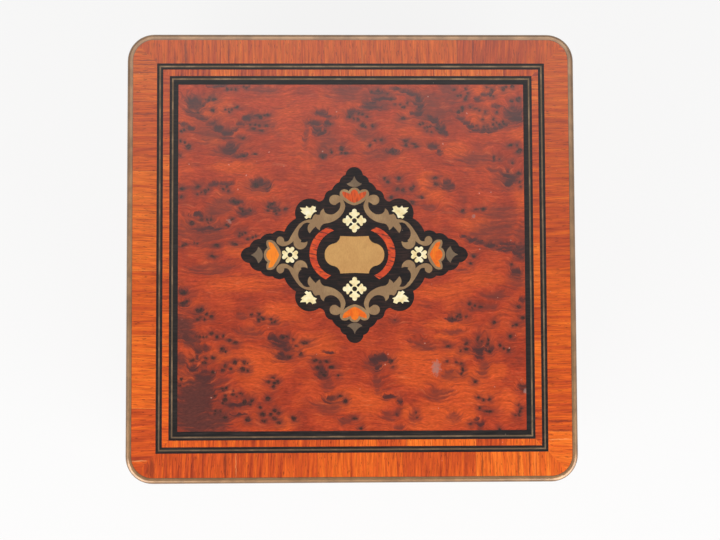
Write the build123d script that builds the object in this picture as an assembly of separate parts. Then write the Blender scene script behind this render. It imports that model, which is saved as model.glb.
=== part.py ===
from build123d import *
import os
from math import sqrt

# Square veneered puzzle box: a marquetry lid on butt hinges, a quarter-turn lock worked by one of the
# feet, and a drawer whose front passes for the plinth moulding. Millimetres, +Z up, front towards -Y,
# origin on the ground under the middle of the box.

# Overall sizes
CASE_WIDTH = 150.0  # veneered plan, the same both ways
CORNER_RADIUS = 9.0
FOOT_HEIGHT = 8.0
PLINTH_HEIGHT = 16.0
FACE_HEIGHT = 50.0  # plinth top to the rim of the case
LID_GAP = 0.3
LID_HEIGHT = 27.7

# Carcass
VENEER = 1.0
WALL = 9.0
POST = 16.0
TONGUE = 3.0
TONGUE_REACH = 4.0
BASE_THICKNESS = 4.0
FLOOR_THICKNESS = 3.0
FLOOR_CARD = 1.0
LINING = 3.0
LINING_LIP = 3.0  # how far the lining stands above the rim
LID_BOARD = 6.0
LID_CARD = 1.5
LIP_GAP = 0.35

# Brass edges
EDGE_WIDTH = 2.05
EDGE_HEIGHT = 1.8
EDGE_ROUND = 1.3
RIM_HEIGHT = 1.5

# Banding and stringing
TOP_BAND = 7.95
TOP_INNER_BAND = 2.15
FACE_BAND = 8.0
LID_FACE_BAND = 5.0
EBONY_LINE = 0.8
BRASS_LINE = 0.5
EBONY_WIDE_LINE = 1.65

# Plinth moulding: a flat, a cove and a cap that is flush with the veneer
PLINTH_PROJECTION = 2.0
PLINTH_QUIRK = 0.5
PLINTH_CAP = 1.6

# Turned feet
FOOT_RADIUS = 8.5
FOOT_TREAD_RADIUS = 6.5
FOOT_NECK_RADIUS = 6.0
FOOT_NECK_LENGTH = 1.6
FOOT_SPIGOT_RADIUS = 2.5
FOOT_SPIGOT = 3.0

# Hinges
HINGE_OFFSET = 38.0
HINGE_LENGTH = 24.0
HINGE_LEAF = 1.2
HINGE_LEAF_DEPTH = 7.5
HINGE_KNUCKLES = 3
KNUCKLE_RADIUS = 1.9
KNUCKLE_GAP = 0.15
BARREL_GAP = 0.3
HINGE_PIN_RADIUS = 0.9
PIN_CLEARANCE = 0.05

# Lock worked by the front right foot
SHAFT_RADIUS = 2.5
NECK_RADIUS = 1.5
BUSH_WALL = 1.0
BUSH_LENGTH = 4.0
SHAFT_CLEARANCE = 0.05
BORE_CLEARANCE = 0.4
SHAFT_IN_FOOT = 5.0
NECK_IN_SHAFT = 8.0
COLLAR_RADIUS = 2.6
COLLAR_HEIGHT = 1.0
COLLAR_PLAY = 0.2
TEE_LENGTH = 9.0
TEE_WIDTH = 2.6
TEE_HEIGHT = 2.2
TEE_LIFT = 0.4
TEE_CLEARANCE = 0.5
STRIKE_RADIUS = 6.3
STRIKE_THICKNESS = 1.2

# Drawer behind the right-hand moulding
DRAWER_BACK_SPACE = 9.2
DRAWER_FRONT = 8.0
DRAWER_SIDE = 2.5
DRAWER_BOTTOM = 2.0
DRAWER_GAP = 0.3
DRAWER_FACE_GAP = 0.2
RUNNER_WIDTH = 3.0
RUNNER_HEIGHT = 4.0

# Cartouche, laid a little off the middle of the lid
CARTOUCHE_WIDTH = 75.8
CARTOUCHE_X = 0.9
CARTOUCHE_Y = 0.6

# Planes and levels that several pieces share
HALF = CASE_WIDTH / 2
CARCASS = HALF - VENEER
CARCASS_RADIUS = CORNER_RADIUS - VENEER
WALL_INNER = CARCASS - WALL
WALL_MIDDLE = CARCASS - WALL / 2
POST_INNER = CARCASS - POST
CORNER = HALF - CORNER_RADIUS
BASE_TOP = FOOT_HEIGHT + BASE_THICKNESS
PLINTH_TOP = FOOT_HEIGHT + PLINTH_HEIGHT
FLOOR_TOP = PLINTH_TOP + FLOOR_THICKNESS
RIM_Z = PLINTH_TOP + FACE_HEIGHT
LID_Z = RIM_Z + LID_GAP
LID_TOP = LID_Z + LID_HEIGHT
BOARD_TOP = LID_TOP - VENEER
BOARD_Z = BOARD_TOP - LID_BOARD
EDGE_Z = LID_TOP - EDGE_HEIGHT
HINGE_Z = RIM_Z + LID_GAP / 2
STRING_WIDTH = 2 * EBONY_LINE + BRASS_LINE
LID_RAIL_INNER = WALL_INNER + LIP_GAP
LID_BLOCK_INNER = POST_INNER + LIP_GAP
LOCK_X = CORNER
LOCK_Y = -CORNER
FIXED_FEET = [(-CORNER, -CORNER), (-CORNER, CORNER), (CORNER, CORNER)]
FACES = {"front": 0, "right": 90, "back": 180, "left": 270}


# Shared shapes

def slab(x0, x1, y0, y1, z0, z1):
    """Box between two corners."""
    return Pos((x0 + x1) / 2, (y0 + y1) / 2, (z0 + z1) / 2) * Box(x1 - x0, y1 - y0, z1 - z0)


def rod(x, y, z0, z1, radius):
    """Upright cylinder."""
    return Pos(x, y, (z0 + z1) / 2) * Cylinder(radius, z1 - z0)


def bar(x0, x1, radius):
    """Cylinder along the hinge axis."""
    return Pos((x0 + x1) / 2, HALF, HINGE_Z) * Rot(0, 90, 0) * Cylinder(radius, x1 - x0)


def plate(half, radius, z0, z1):
    """Square plate with rounded corners."""
    return Pos(0, 0, z0) * extrude(RectangleRounded(2 * half, 2 * half, radius), z1 - z0)


def ring(z0, z1):
    """Square brass band with rounded corners, flush with the faces of the box."""
    return plate(HALF, CORNER_RADIUS, z0, z1) - plate(HALF - EDGE_WIDTH, CORNER_RADIUS - EDGE_WIDTH, z0, z1)


def turned(shape, degrees):
    """Shape turned about the upright axis of the box."""
    return Rot(0, 0, degrees) * shape


def less(shape, cutters):
    """The shape with all the cutters taken away."""
    for cutter in cutters:
        shape = shape - cutter
    return shape


def mitred(half_x, half_y, width):
    """Faces of four strips round a rectangle, mitred at the corners."""
    signs = [(-1, -1), (1, -1), (1, 1), (-1, 1)]
    outer = [(x * half_x, y * half_y) for x, y in signs]
    inner = [(x * (half_x - width), y * (half_y - width)) for x, y in signs]
    strips = []
    for i in range(4):
        j = (i + 1) % 4
        strips.append(make_face(Polyline(outer[i], outer[j], inner[j], inner[i], close=True).edges()))
    return strips


def outlined(*stretches):
    """Face inside a closed outline: two points make a line, and a longer odd run makes arcs."""
    edges = []
    for points in stretches:
        if len(points) == 2:
            edges.append(Line(*points))
        for i in range(0, len(points) - 2, 2):
            edges.append(ThreePointArc(*points[i:i + 3]))
    return make_face(edges)


def flipped(stretches, x=1, y=1):
    """The same stretches mirrored, and run backwards so that they follow on."""
    return [[(x * px, y * py) for px, py in reversed(points)] for points in reversed(stretches)]


def above_and_below(shape):
    """A shape and its mirror image across the X axis."""
    return [shape, mirror(shape, Plane.XZ)]


def both_sides(shape):
    """A shape and its mirror image across the Y axis."""
    return [shape, mirror(shape, Plane.YZ)]


def quarters(shape):
    """A shape and its mirror images in all four quarters."""
    return [image for half in both_sides(shape) for image in above_and_below(half)]


# Marquetry of the lid, from the brass edge inwards

BAND_OUTER = HALF - EDGE_WIDTH
OUTER_STRING = BAND_OUTER - TOP_BAND
INNER_BAND = OUTER_STRING - STRING_WIDTH
INNER_STRING = INNER_BAND - TOP_INNER_BAND
TOP_FIELD = INNER_STRING - EBONY_LINE - BRASS_LINE - EBONY_WIDE_LINE


def lay(faces):
    """Veneers cut to these faces and laid on the lid board."""
    return [Pos(0, 0, BOARD_TOP) * extrude(face, VENEER, dir=(0, 0, 1)) for face in faces]


def nested_lines(half_x, half_y, widths):
    """Mitred strips of the given widths, one inside the other."""
    lines = []
    for width in widths:
        lines.append(mitred(half_x, half_y, width))
        half_x -= width
        half_y -= width
    return lines


def lid_border():
    """Cross-banding and stringing round the lid."""
    edge = RectangleRounded(2 * BAND_OUTER, 2 * BAND_OUTER, CORNER_RADIUS - EDGE_WIDTH)
    outer = [edge & strip for strip in mitred(BAND_OUTER, BAND_OUTER, TOP_BAND)]
    inner = mitred(INNER_BAND, INNER_BAND, TOP_INNER_BAND)
    outer_widths = (EBONY_LINE, BRASS_LINE, EBONY_LINE)
    inner_widths = (EBONY_LINE, BRASS_LINE, EBONY_WIDE_LINE)
    first, brass, second = nested_lines(OUTER_STRING, OUTER_STRING, outer_widths)
    third, inner_brass, wide = nested_lines(INNER_STRING, INNER_STRING, inner_widths)
    return {
        "lid_outer_banding": lay(outer),
        "lid_inner_banding": lay(inner),
        "lid_ebony_strings": lay(first + second + third + wide),
        "lid_brass_strings": lay(brass + inner_brass),
    }


def ground_face():
    """Ebony ground: a lozenge with scalloped edges and a round lobe for each bone leaf."""
    quarter = [
        [(0, 29.4), (1.9, 28.7), (2.9, 26.7)],
        [(2.9, 26.7), (4.3, 25.9), (4.9, 24.4)],
        [(4.9, 24.4), (6.6, 23.2), (7.5, 21.7)],
        [(7.5, 21.7), (9.2, 21.0), (9.9, 19.6)],
        [(9.9, 19.6), (10.6, 18.3), (11.9, 17.8)],
        [(11.9, 17.8), (18.5, 17.3), (19.5, 12.2)],
        [(19.5, 12.2), (21.9, 10.3), (23.4, 7.7)],
        [(23.4, 7.7), (25.4, 8.1), (27.3, 7.1)],
        [(27.3, 7.1), (29.6, 6.9), (31.3, 5.4)],
        [(31.3, 5.4), (33.6, 4.7), (35.0, 2.7)],
        [(35.0, 2.7), (37.1, 1.7), (37.9, 0)],
    ]
    right = quarter + flipped(quarter, y=-1)
    return outlined(*right, *flipped(right, x=-1))


def plaque_face():
    """Blank brass plaque with hollowed shoulders."""
    quarter = [
        [(0, 6.05), (4.75, 6.25)],
        [(4.75, 6.25), (5.5, 4.55), (7.3, 3.65)],
        [(7.3, 3.65), (9.25, 2.3), (9.9, 0)],
    ]
    right = quarter + flipped(quarter, y=-1)
    return outlined(*right, *flipped(right, x=-1))


def crescent_faces():
    """Two curved strips of red wood beside the plaque, the left one let in a little further out."""
    right = [
        [(7.4, 9.2), (12.0, 5.6), (13.6, 0)],
        [(13.6, 0), (12.2, -4.6), (8.2, -8.2)],
        [(8.2, -8.2), (6.5, -6.9)],
        [(6.5, -6.9), (10.1, -4.0), (11.3, 0)],
        [(11.3, 0), (9.6, 5.0), (5.4, 8.1)],
        [(5.4, 8.1), (7.4, 9.2)],
    ]
    left = [[(x - 1.4, y) for x, y in points] for points in flipped(right, x=-1)]
    return [outlined(*right), outlined(*left)]


def flower(x, y, half_petal):
    """Four petals round a pierced eye. The half petal given is the upper one along +X."""
    petal = half_petal + flipped(half_petal, y=-1)
    one = outlined(*petal, [petal[-1][-1], petal[0][0]])
    middle = Pos(x, y)
    whole = middle * Circle(1.2)
    for i in range(4):
        whole += middle * Rot(0, 0, 90 * i) * one
    return whole - middle * Circle(0.8)


def flower_faces():
    """Two bone flowers with three-lobed petals above and below the plaque, and two with hearts beside it."""
    lobed = [
        [(0.7, 0.7), (1.35, 0.7)],
        [(1.35, 0.7), (1.85, 1.35)],
        [(1.85, 1.35), (2.4, 1.75), (2.75, 1.2)],
        [(2.75, 1.2), (2.95, 0.75)],
        [(2.95, 0.75), (3.7, 0.6), (3.95, 0)],
    ]
    heart = [
        [(0.75, 0.6), (1.6, 1.3)],
        [(1.6, 1.3), (2.45, 1.25), (2.6, 0.5)],
        [(2.6, 0.5), (2.2, 0)],
    ]
    return above_and_below(flower(0, 11.4, lobed)) + both_sides(flower(21.5, 0, heart))


def leaf_faces():
    """Four bone leaves with toothed edges."""
    points = [
        (12.5, 14.6), (13.1, 15.0), (12.8, 16.0), (14.1, 16.4), (14.5, 15.8), (15.2, 15.7),
        (16.0, 16.4), (16.3, 15.7), (18.2, 15.8), (17.4, 14.8), (17.9, 14.5), (16.7, 13.5),
        (16.0, 13.25), (16.7, 12.6), (16.0, 12.0), (15.4, 12.4), (14.6, 12.25), (14.2, 13.3),
        (13.6, 14.1),
    ]
    return quarters(make_face(Polyline(*points, close=True).edges()))


def palmette_faces():
    """Four red palmettes, each in a brass rim: the faces of the wood, then those of the rims."""
    top_rim = [
        [(0, 22.5), (1.15, 22.15), (1.85, 21.3)],
        [(1.85, 21.3), (3.0, 21.9), (4.2, 21.7), (4.9, 20.6), (4.4, 19.1), (2.9, 17.7), (0, 16.5)],
    ]
    top_wood = [
        [(0, 21.85), (0.85, 21.4), (1.35, 20.3)],
        [(1.35, 20.3), (2.5, 20.85), (3.95, 21.2)],
        [(3.95, 21.2), (3.9, 20.2), (2.7, 18.9), (1.4, 17.95), (0, 17.35)],
    ]
    side_rim = [
        [(30.2, 0), (29.8, 1.5), (28.9, 2.4)],
        [(28.9, 2.4), (29.35, 3.5), (29.2, 4.8), (27.9, 5.0), (26.2, 3.9), (24.9, 2.0), (24.3, 0)],
    ]
    side_wood = [
        [(29.4, 0), (29.0, 1.2), (27.95, 2.0)],
        [(27.95, 2.0), (28.45, 3.0), (28.65, 4.3)],
        [(28.65, 4.3), (27.6, 4.1), (26.7, 3.1), (25.8, 1.6), (25.1, 0)],
    ]
    top_rim_face, top_wood_face = (outlined(*half, *flipped(half, x=-1)) for half in (top_rim, top_wood))
    side_rim_face, side_wood_face = (outlined(*half, *flipped(half, y=-1)) for half in (side_rim, side_wood))
    wood = above_and_below(top_wood_face) + both_sides(side_wood_face)
    rims = above_and_below(top_rim_face) + both_sides(side_rim_face)
    return wood, [rim - core for rim, core in zip(rims, wood)]


def finial_faces():
    """Barbed brass tip outside each palmette."""
    top = [
        [(0, 26.5), (0.95, 24.7), (2.6, 23.8)],
        [(2.6, 23.8), (1.7, 23.1), (0, 22.7)],
    ]
    side = [
        [(34.6, 0), (32.95, 1.05), (32.1, 2.8)],
        [(32.1, 2.8), (31.1, 1.8), (30.5, 0)],
    ]
    above = outlined(*top, *flipped(top, x=-1))
    beside = outlined(*side, *flipped(side, y=-1))
    return above_and_below(above) + both_sides(beside)


def scroll_faces():
    """Four brass scrolls: a volute by the palmette, an acanthus leaf, then a hook and a small volute."""
    return quarters(outlined(
        [(4.75, 19.5), (3.6, 18.0), (3.05, 16.2), (3.8, 14.0), (5.4, 12.2), (7.5, 11.0), (9.9, 10.45)],
        [(9.9, 10.45), (11.1, 9.6), (11.5, 8.2)],
        [(11.5, 8.2), (12.3, 8.7), (12.9, 9.5)],
        [(12.9, 9.5), (13.9, 8.5), (14.9, 7.2)],
        [(14.9, 7.2), (15.6, 8.6), (14.8, 10.6)],
        [(14.8, 10.6), (16.2, 10.7), (17.6, 9.5), (18.6, 8.1), (18.8, 6.9), (18.5, 5.7), (17.7, 4.85)],
        [(17.7, 4.85), (17.95, 4.3)],
        [(17.95, 4.3), (17.0, 4.1), (15.7, 4.5)],
        [(15.7, 4.5), (16.2, 2.8), (17.6, 1.85), (19.4, 2.3), (20.3, 4.6)],
        [(20.3, 4.6), (21.5, 3.65), (23.1, 2.95), (24.7, 3.1), (25.8, 4.0), (25.9, 5.2), (25.0, 6.15),
         (23.9, 5.8), (23.45, 4.5)],
        [(23.45, 4.5), (22.5, 4.5), (21.6, 5.4), (20.3, 7.7), (18.4, 10.3), (16.5, 11.45), (14.1, 11.9)],
        [(14.1, 11.9), (13.7, 13.0), (13.0, 13.7)],
        [(13.0, 13.7), (12.3, 13.4), (11.5, 13.45)],
        [(11.5, 13.45), (11.2, 14.6), (10.2, 15.5)],
        [(10.2, 15.5), (10.0, 14.5), (9.1, 13.7), (7.5, 13.5), (5.9, 14.3), (4.85, 15.7), (4.75, 17.7)],
        [(4.75, 17.7), (5.5, 17.3), (6.2, 16.75)],
        [(6.2, 16.75), (8.3, 17.9), (7.0, 20.0)],
        [(7.0, 20.0), (5.8, 20.0), (4.75, 19.5)],
    ))


def lid_marquetry():
    """Burl field and cartouche, cut piece into piece so that every edge meets its neighbour."""
    ground = ground_face()
    wood, rims = palmette_faces()
    inlays = {
        "cartouche_plaque": [plaque_face()],
        "cartouche_crescents": crescent_faces(),
        "cartouche_flowers": flower_faces(),
        "cartouche_leaves": leaf_faces(),
        "cartouche_palmettes": wood,
        "cartouche_palmette_rims": rims,
        "cartouche_finials": finial_faces(),
    }
    placed = [face for faces in inlays.values() for face in faces]
    inlays["cartouche_scrolls"] = [less(face, placed) for face in scroll_faces()]
    inlays["cartouche_ground"] = [less(ground, placed + inlays["cartouche_scrolls"])]
    size = CARTOUCHE_WIDTH / ground.bounding_box().size.X

    def placed_face(face):
        return Pos(CARTOUCHE_X, CARTOUCHE_Y) * face.scale(size)

    nodes = {name: lay([placed_face(face) for face in faces]) for name, faces in inlays.items()}
    nodes["lid_burl_field"] = lay([Rectangle(2 * TOP_FIELD, 2 * TOP_FIELD) - placed_face(ground)])
    return nodes


# Hinges

def hinge_seats(z0, z1):
    """What the two hinges take out of a back edge: their leaves between two levels, and their barrels."""
    reach = HINGE_LENGTH / 2
    cutters = []
    for x in (-HINGE_OFFSET, HINGE_OFFSET):
        cutters.append(slab(x - reach, x + reach, HALF - HINGE_LEAF_DEPTH, HALF, z0, z1))
        cutters.append(bar(x - reach - BARREL_GAP, x + reach + BARREL_GAP, KNUCKLE_RADIUS + BARREL_GAP))
    return cutters


CASE_HINGE_SEATS = hinge_seats(RIM_Z - HINGE_LEAF, RIM_Z)
LID_HINGE_SEATS = hinge_seats(LID_Z, LID_Z + HINGE_LEAF)


def hinge_leaf(x, z0, z1, own):
    """One leaf with every other knuckle, relieved round the knuckles of its fellow."""
    reach = HINGE_LENGTH / 2
    pitch = HINGE_LENGTH / HINGE_KNUCKLES
    relief = KNUCKLE_RADIUS + KNUCKLE_GAP
    leaf = slab(x - reach, x + reach, HALF - HINGE_LEAF_DEPTH, HALF, z0, z1)
    others = []
    for i in range(HINGE_KNUCKLES):
        start = x - reach + i * pitch
        if i % 2 == own:
            leaf += bar(start + KNUCKLE_GAP / 2, start + pitch - KNUCKLE_GAP / 2, KNUCKLE_RADIUS)
        else:
            others.append(bar(start - KNUCKLE_GAP / 2, start + pitch + KNUCKLE_GAP / 2, relief))
    return less(leaf, others) - bar(x - reach, x + reach, HINGE_PIN_RADIUS + PIN_CLEARANCE)


def hinge_nodes():
    """Two butt hinges, each a leaf on the case, a leaf on the lid and a pin."""
    places = (-HINGE_OFFSET, HINGE_OFFSET)
    reach = HINGE_LENGTH / 2
    return {
        "hinge_case_leaves": [hinge_leaf(x, RIM_Z - HINGE_LEAF, RIM_Z, 0) for x in places],
        "hinge_lid_leaves": [hinge_leaf(x, LID_Z, LID_Z + HINGE_LEAF, 1) for x in places],
        "hinge_pins": [bar(x - reach, x + reach, HINGE_PIN_RADIUS) for x in places],
    }


# Veneer of the four faces

def upright(face):
    """Veneer cut to a face drawn in X and height, on the front of the carcass."""
    return extrude(Plane((0, -CARCASS, 0), x_dir=(1, 0, 0), z_dir=(0, -1, 0)) * face, VENEER)


def front_veneer(z0, z1, band):
    """Field, banding, ebony lines and brass lines of the front between two levels."""
    half_x, half_z = CORNER - FACE_BAND, (z1 - z0) / 2 - band
    level = Rectangle(2 * CORNER, band)
    post = Rectangle(FACE_BAND, 2 * half_z)
    strips = [Pos(0, s * (half_z + band / 2)) * level for s in (-1, 1)]
    strips += [Pos(s * (half_x + FACE_BAND / 2), 0) * post for s in (-1, 1)]
    outer, brass, inner = nested_lines(half_x, half_z, (EBONY_LINE, BRASS_LINE, EBONY_LINE))
    field = Rectangle(2 * half_x - 2 * STRING_WIDTH, 2 * half_z - 2 * STRING_WIDTH)
    middle = Pos(0, (z0 + z1) / 2)
    return [[upright(middle * face) for face in group] for group in ([field], strips, outer + inner, brass)]


def corner_wraps(z0, z1):
    """Veneer bent round the four corners."""
    shell = plate(HALF, CORNER_RADIUS, z0, z1) - plate(CARCASS, CARCASS_RADIUS, z0, z1)
    return [shell & turned(slab(CORNER, HALF, CORNER, HALF, z0, z1), angle) for angle in FACES.values()]


def face_nodes(prefix, z0, z1, band, hinge_cut):
    """Veneers of all four faces, with the banding cut away round the hinges at the back."""
    groups = [[], corner_wraps(z0, z1), [], []]
    for angle in FACES.values():
        for group, pieces in zip(groups, front_veneer(z0, z1, band)):
            group += [turned(piece, angle) for piece in pieces]
    fields, banding, ebony, brass = groups
    return {
        f"{prefix}_burl_fields": fields,
        f"{prefix}_banding": [less(piece, hinge_cut) for piece in banding],
        f"{prefix}_ebony_strings": ebony,
        f"{prefix}_brass_strings": brass,
    }


# Plinth and feet

PLINTH_DEPTH = VENEER + PLINTH_PROJECTION


def plinth_section(y):
    """Section of the right-hand moulding: a flat, a quirk, a cove and a cap."""
    cove = PLINTH_PROJECTION - PLINTH_QUIRK
    shoulder = VENEER + cove
    flat = PLINTH_HEIGHT - PLINTH_CAP - cove
    hollow = cove * (1 - sqrt(0.5))
    profile = outlined(
        [(0, 0), (PLINTH_DEPTH, 0)],
        [(PLINTH_DEPTH, 0), (PLINTH_DEPTH, flat)],
        [(PLINTH_DEPTH, flat), (shoulder, flat)],
        [(shoulder, flat), (VENEER + hollow, flat + hollow), (VENEER, flat + cove)],
        [(VENEER, flat + cove), (VENEER, PLINTH_HEIGHT)],
        [(VENEER, PLINTH_HEIGHT), (0, PLINTH_HEIGHT)],
        [(0, PLINTH_HEIGHT), (0, 0)],
    )
    return Plane((CARCASS, y, FOOT_HEIGHT), x_dir=(1, 0, 0), z_dir=(0, -1, 0)) * profile


def plinth_strip(half_length):
    """Straight moulding along the right-hand side."""
    return extrude(plinth_section(-half_length), 2 * half_length, dir=(0, 1, 0))


def plinth_nodes():
    """Moulding on three sides, and turned corners. The fourth side is the drawer's."""
    corner = revolve(plinth_section(CORNER), Axis((CORNER, CORNER, 0), (0, 0, 1)), 90)
    return {
        "plinth_strips": [turned(plinth_strip(CORNER), angle) for angle in (-90, 90, 180)],
        "plinth_corners": [turned(corner, angle) for angle in FACES.values()],
    }


def bun_foot(height):
    """Foot turned with a bevelled tread, a band, a bevelled shoulder and a straight neck."""
    neck = FOOT_HEIGHT - FOOT_NECK_LENGTH
    profile = outlined(
        [(0, 0), (FOOT_TREAD_RADIUS, 0)],
        [(FOOT_TREAD_RADIUS, 0), (FOOT_RADIUS, neck / 3)],
        [(FOOT_RADIUS, neck / 3), (FOOT_RADIUS, neck * 2 / 3)],
        [(FOOT_RADIUS, neck * 2 / 3), (FOOT_NECK_RADIUS, neck)],
        [(FOOT_NECK_RADIUS, neck), (FOOT_NECK_RADIUS, height)],
        [(FOOT_NECK_RADIUS, height), (0, height)],
        [(0, height), (0, 0)],
    )
    return revolve(Plane.XZ * profile, Axis.Z)


def fixed_feet():
    """Three feet with spigots in the base board."""
    spigot = rod(0, 0, FOOT_HEIGHT, FOOT_HEIGHT + FOOT_SPIGOT, FOOT_SPIGOT_RADIUS)
    return {"feet": [Pos(x, y) * (bun_foot(FOOT_HEIGHT) + spigot) for x, y in FIXED_FEET]}


# Lock: the front right foot turns a shaft in its post, and the tee head is held by the strike plate

BUSH_RADIUS = SHAFT_RADIUS + BUSH_WALL
COLLAR_TOP = RIM_Z - COLLAR_PLAY
COLLAR_Z = COLLAR_TOP - COLLAR_HEIGHT
BUSH_TOP = COLLAR_Z - COLLAR_PLAY
BUSH_Z = BUSH_TOP - BUSH_LENGTH
SHAFT_TOP = BUSH_Z - COLLAR_PLAY
STRIKE_TOP = LID_Z + STRIKE_THICKNESS
TEE_Z = STRIKE_TOP + TEE_LIFT
POCKET_TOP = TEE_Z + TEE_HEIGHT + TEE_CLEARANCE


def lock_rod(z0, z1, radius):
    """Cylinder on the axis of the lock."""
    return rod(LOCK_X, LOCK_Y, z0, z1, radius)


def lock_bore():
    """Bore of the lock post: clear of the shaft, a seat for the upper bush, and room for the collar."""
    bore = lock_rod(BASE_TOP, BUSH_Z, SHAFT_RADIUS + BORE_CLEARANCE)
    seat = lock_rod(BUSH_Z, BUSH_TOP, BUSH_RADIUS)
    return bore + seat + lock_rod(BUSH_TOP, RIM_Z, COLLAR_RADIUS + BORE_CLEARANCE)


def lock_bush(z0, z1, shaft_radius):
    """Brass bush between two levels."""
    return lock_rod(z0, z1, BUSH_RADIUS) - lock_rod(z0, z1, shaft_radius + SHAFT_CLEARANCE)


def lock_slot(z0, length, width, height):
    """Round-ended bar on the axis of the lock, along Y."""
    return Pos(LOCK_X, LOCK_Y, z0) * extrude(SlotOverall(length, width, rotation=90), height)


def lock_nodes():
    """Turning foot, shaft and tee head, with the bushes they run in and the plate that holds the head."""
    foot_top = FOOT_HEIGHT - COLLAR_PLAY
    shaft_foot = foot_top - SHAFT_IN_FOOT
    neck_foot = SHAFT_TOP - NECK_IN_SHAFT
    foot = Pos(LOCK_X, LOCK_Y) * bun_foot(foot_top) - lock_rod(shaft_foot, foot_top, SHAFT_RADIUS)
    shaft = lock_rod(shaft_foot, SHAFT_TOP, SHAFT_RADIUS) - lock_rod(neck_foot, SHAFT_TOP, NECK_RADIUS)
    tee = lock_rod(neck_foot, TEE_Z, NECK_RADIUS) + lock_rod(COLLAR_Z, COLLAR_TOP, COLLAR_RADIUS)
    tee += lock_slot(TEE_Z, TEE_LENGTH, TEE_WIDTH, TEE_HEIGHT)
    slot = lock_slot(LID_Z, TEE_LENGTH + 2 * TEE_CLEARANCE, TEE_WIDTH + 2 * TEE_CLEARANCE, STRIKE_THICKNESS)
    lower_bush = lock_bush(FOOT_HEIGHT, BASE_TOP, SHAFT_RADIUS)
    return {
        "lock_foot": [foot],
        "lock_shaft": [shaft],
        "lock_tee": [tee],
        "lock_bushes": [lower_bush, lock_bush(BUSH_Z, BUSH_TOP, NECK_RADIUS)],
        "strike_plate": [lock_rod(LID_Z, STRIKE_TOP, STRIKE_RADIUS) - slot],
    }


# Carcass of the case

def tongue(z0, z1):
    """The tongues at the two ends of the front board, as one strip."""
    reach = POST_INNER + TONGUE_REACH
    return slab(-reach, reach, -WALL_MIDDLE - TONGUE / 2, -WALL_MIDDLE + TONGUE / 2, z0, z1)


def corner_post(z0, z1, inner):
    """Front right post with its rounded outer edge."""
    return plate(CARCASS, CARCASS_RADIUS, z0, z1) & slab(inner, CARCASS, -CARCASS, -inner, z0, z1)


def case_carcass():
    """Walls tongued into posts, with the brass rim let into their upper edge."""
    rim = ring(RIM_Z - RIM_HEIGHT, RIM_Z)
    walls, tongues = {}, []
    for name, angle in FACES.items():
        z0 = PLINTH_TOP if name == "right" else BASE_TOP
        board = slab(-POST_INNER, POST_INNER, -CARCASS, -WALL_INNER, z0, RIM_Z)
        tongues.append(turned(tongue(z0, RIM_Z), angle))
        walls[f"{name}_wall"] = [less(turned(board, angle) + tongues[-1], [rim] + CASE_HINGE_SEATS)]
    post = corner_post(BASE_TOP, RIM_Z, POST_INNER)
    posts = [less(turned(post, angle), tongues + [rim]) for angle in FACES.values()]
    return {
        **walls,
        "lock_post": [posts[0] - lock_bore()],
        "corner_posts": posts[1:],
        "case_brass_rim": [less(rim, CASE_HINGE_SEATS)],
    }


def case_inside():
    """Base board, compartment floor, linings and drawer runners."""
    base = plate(CARCASS, CARCASS_RADIUS, FOOT_HEIGHT, BASE_TOP)
    base -= lock_rod(FOOT_HEIGHT, BASE_TOP, BUSH_RADIUS)
    spigots = [rod(x, y, FOOT_HEIGHT, FOOT_HEIGHT + FOOT_SPIGOT, FOOT_SPIGOT_RADIUS) for x, y in FIXED_FEET]
    post = slab(POST_INNER, CARCASS, POST_INNER, CARCASS, PLINTH_TOP, RIM_Z)
    posts = [turned(post, angle) for angle in FACES.values()]
    lined = WALL_INNER - LINING
    floor = slab(-WALL_INNER, WALL_INNER, -WALL_INNER, WALL_INNER, PLINTH_TOP, FLOOR_TOP)
    card = slab(-lined, lined, -lined, lined, FLOOR_TOP, FLOOR_TOP + FLOOR_CARD)
    board = slab(-POST_INNER, POST_INNER, -WALL_INNER, -lined, FLOOR_TOP, RIM_Z + LINING_LIP)
    guide = POST_INNER - RUNNER_WIDTH
    runner = slab(-WALL_INNER, CARCASS, guide, POST_INNER, BASE_TOP, BASE_TOP + RUNNER_HEIGHT)
    return {
        "base_board": [less(base, spigots)],
        "compartment_floor": [less(floor, posts)],
        "floor_lining": [less(card, posts)],
        "wall_linings": [turned(board, angle) for angle in FACES.values()],
        "drawer_runners": above_and_below(runner),
    }


# Carcass of the lid

def lid_edge():
    """Brass edge of the top, rounded on its outer arris."""
    whole = plate(HALF, CORNER_RADIUS, EDGE_Z, LID_TOP)
    rounded = fillet(whole.faces().sort_by(Axis.Z)[-1].edges(), EDGE_ROUND)
    return rounded - plate(HALF - EDGE_WIDTH, CORNER_RADIUS - EDGE_WIDTH, EDGE_Z, LID_TOP)


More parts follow.
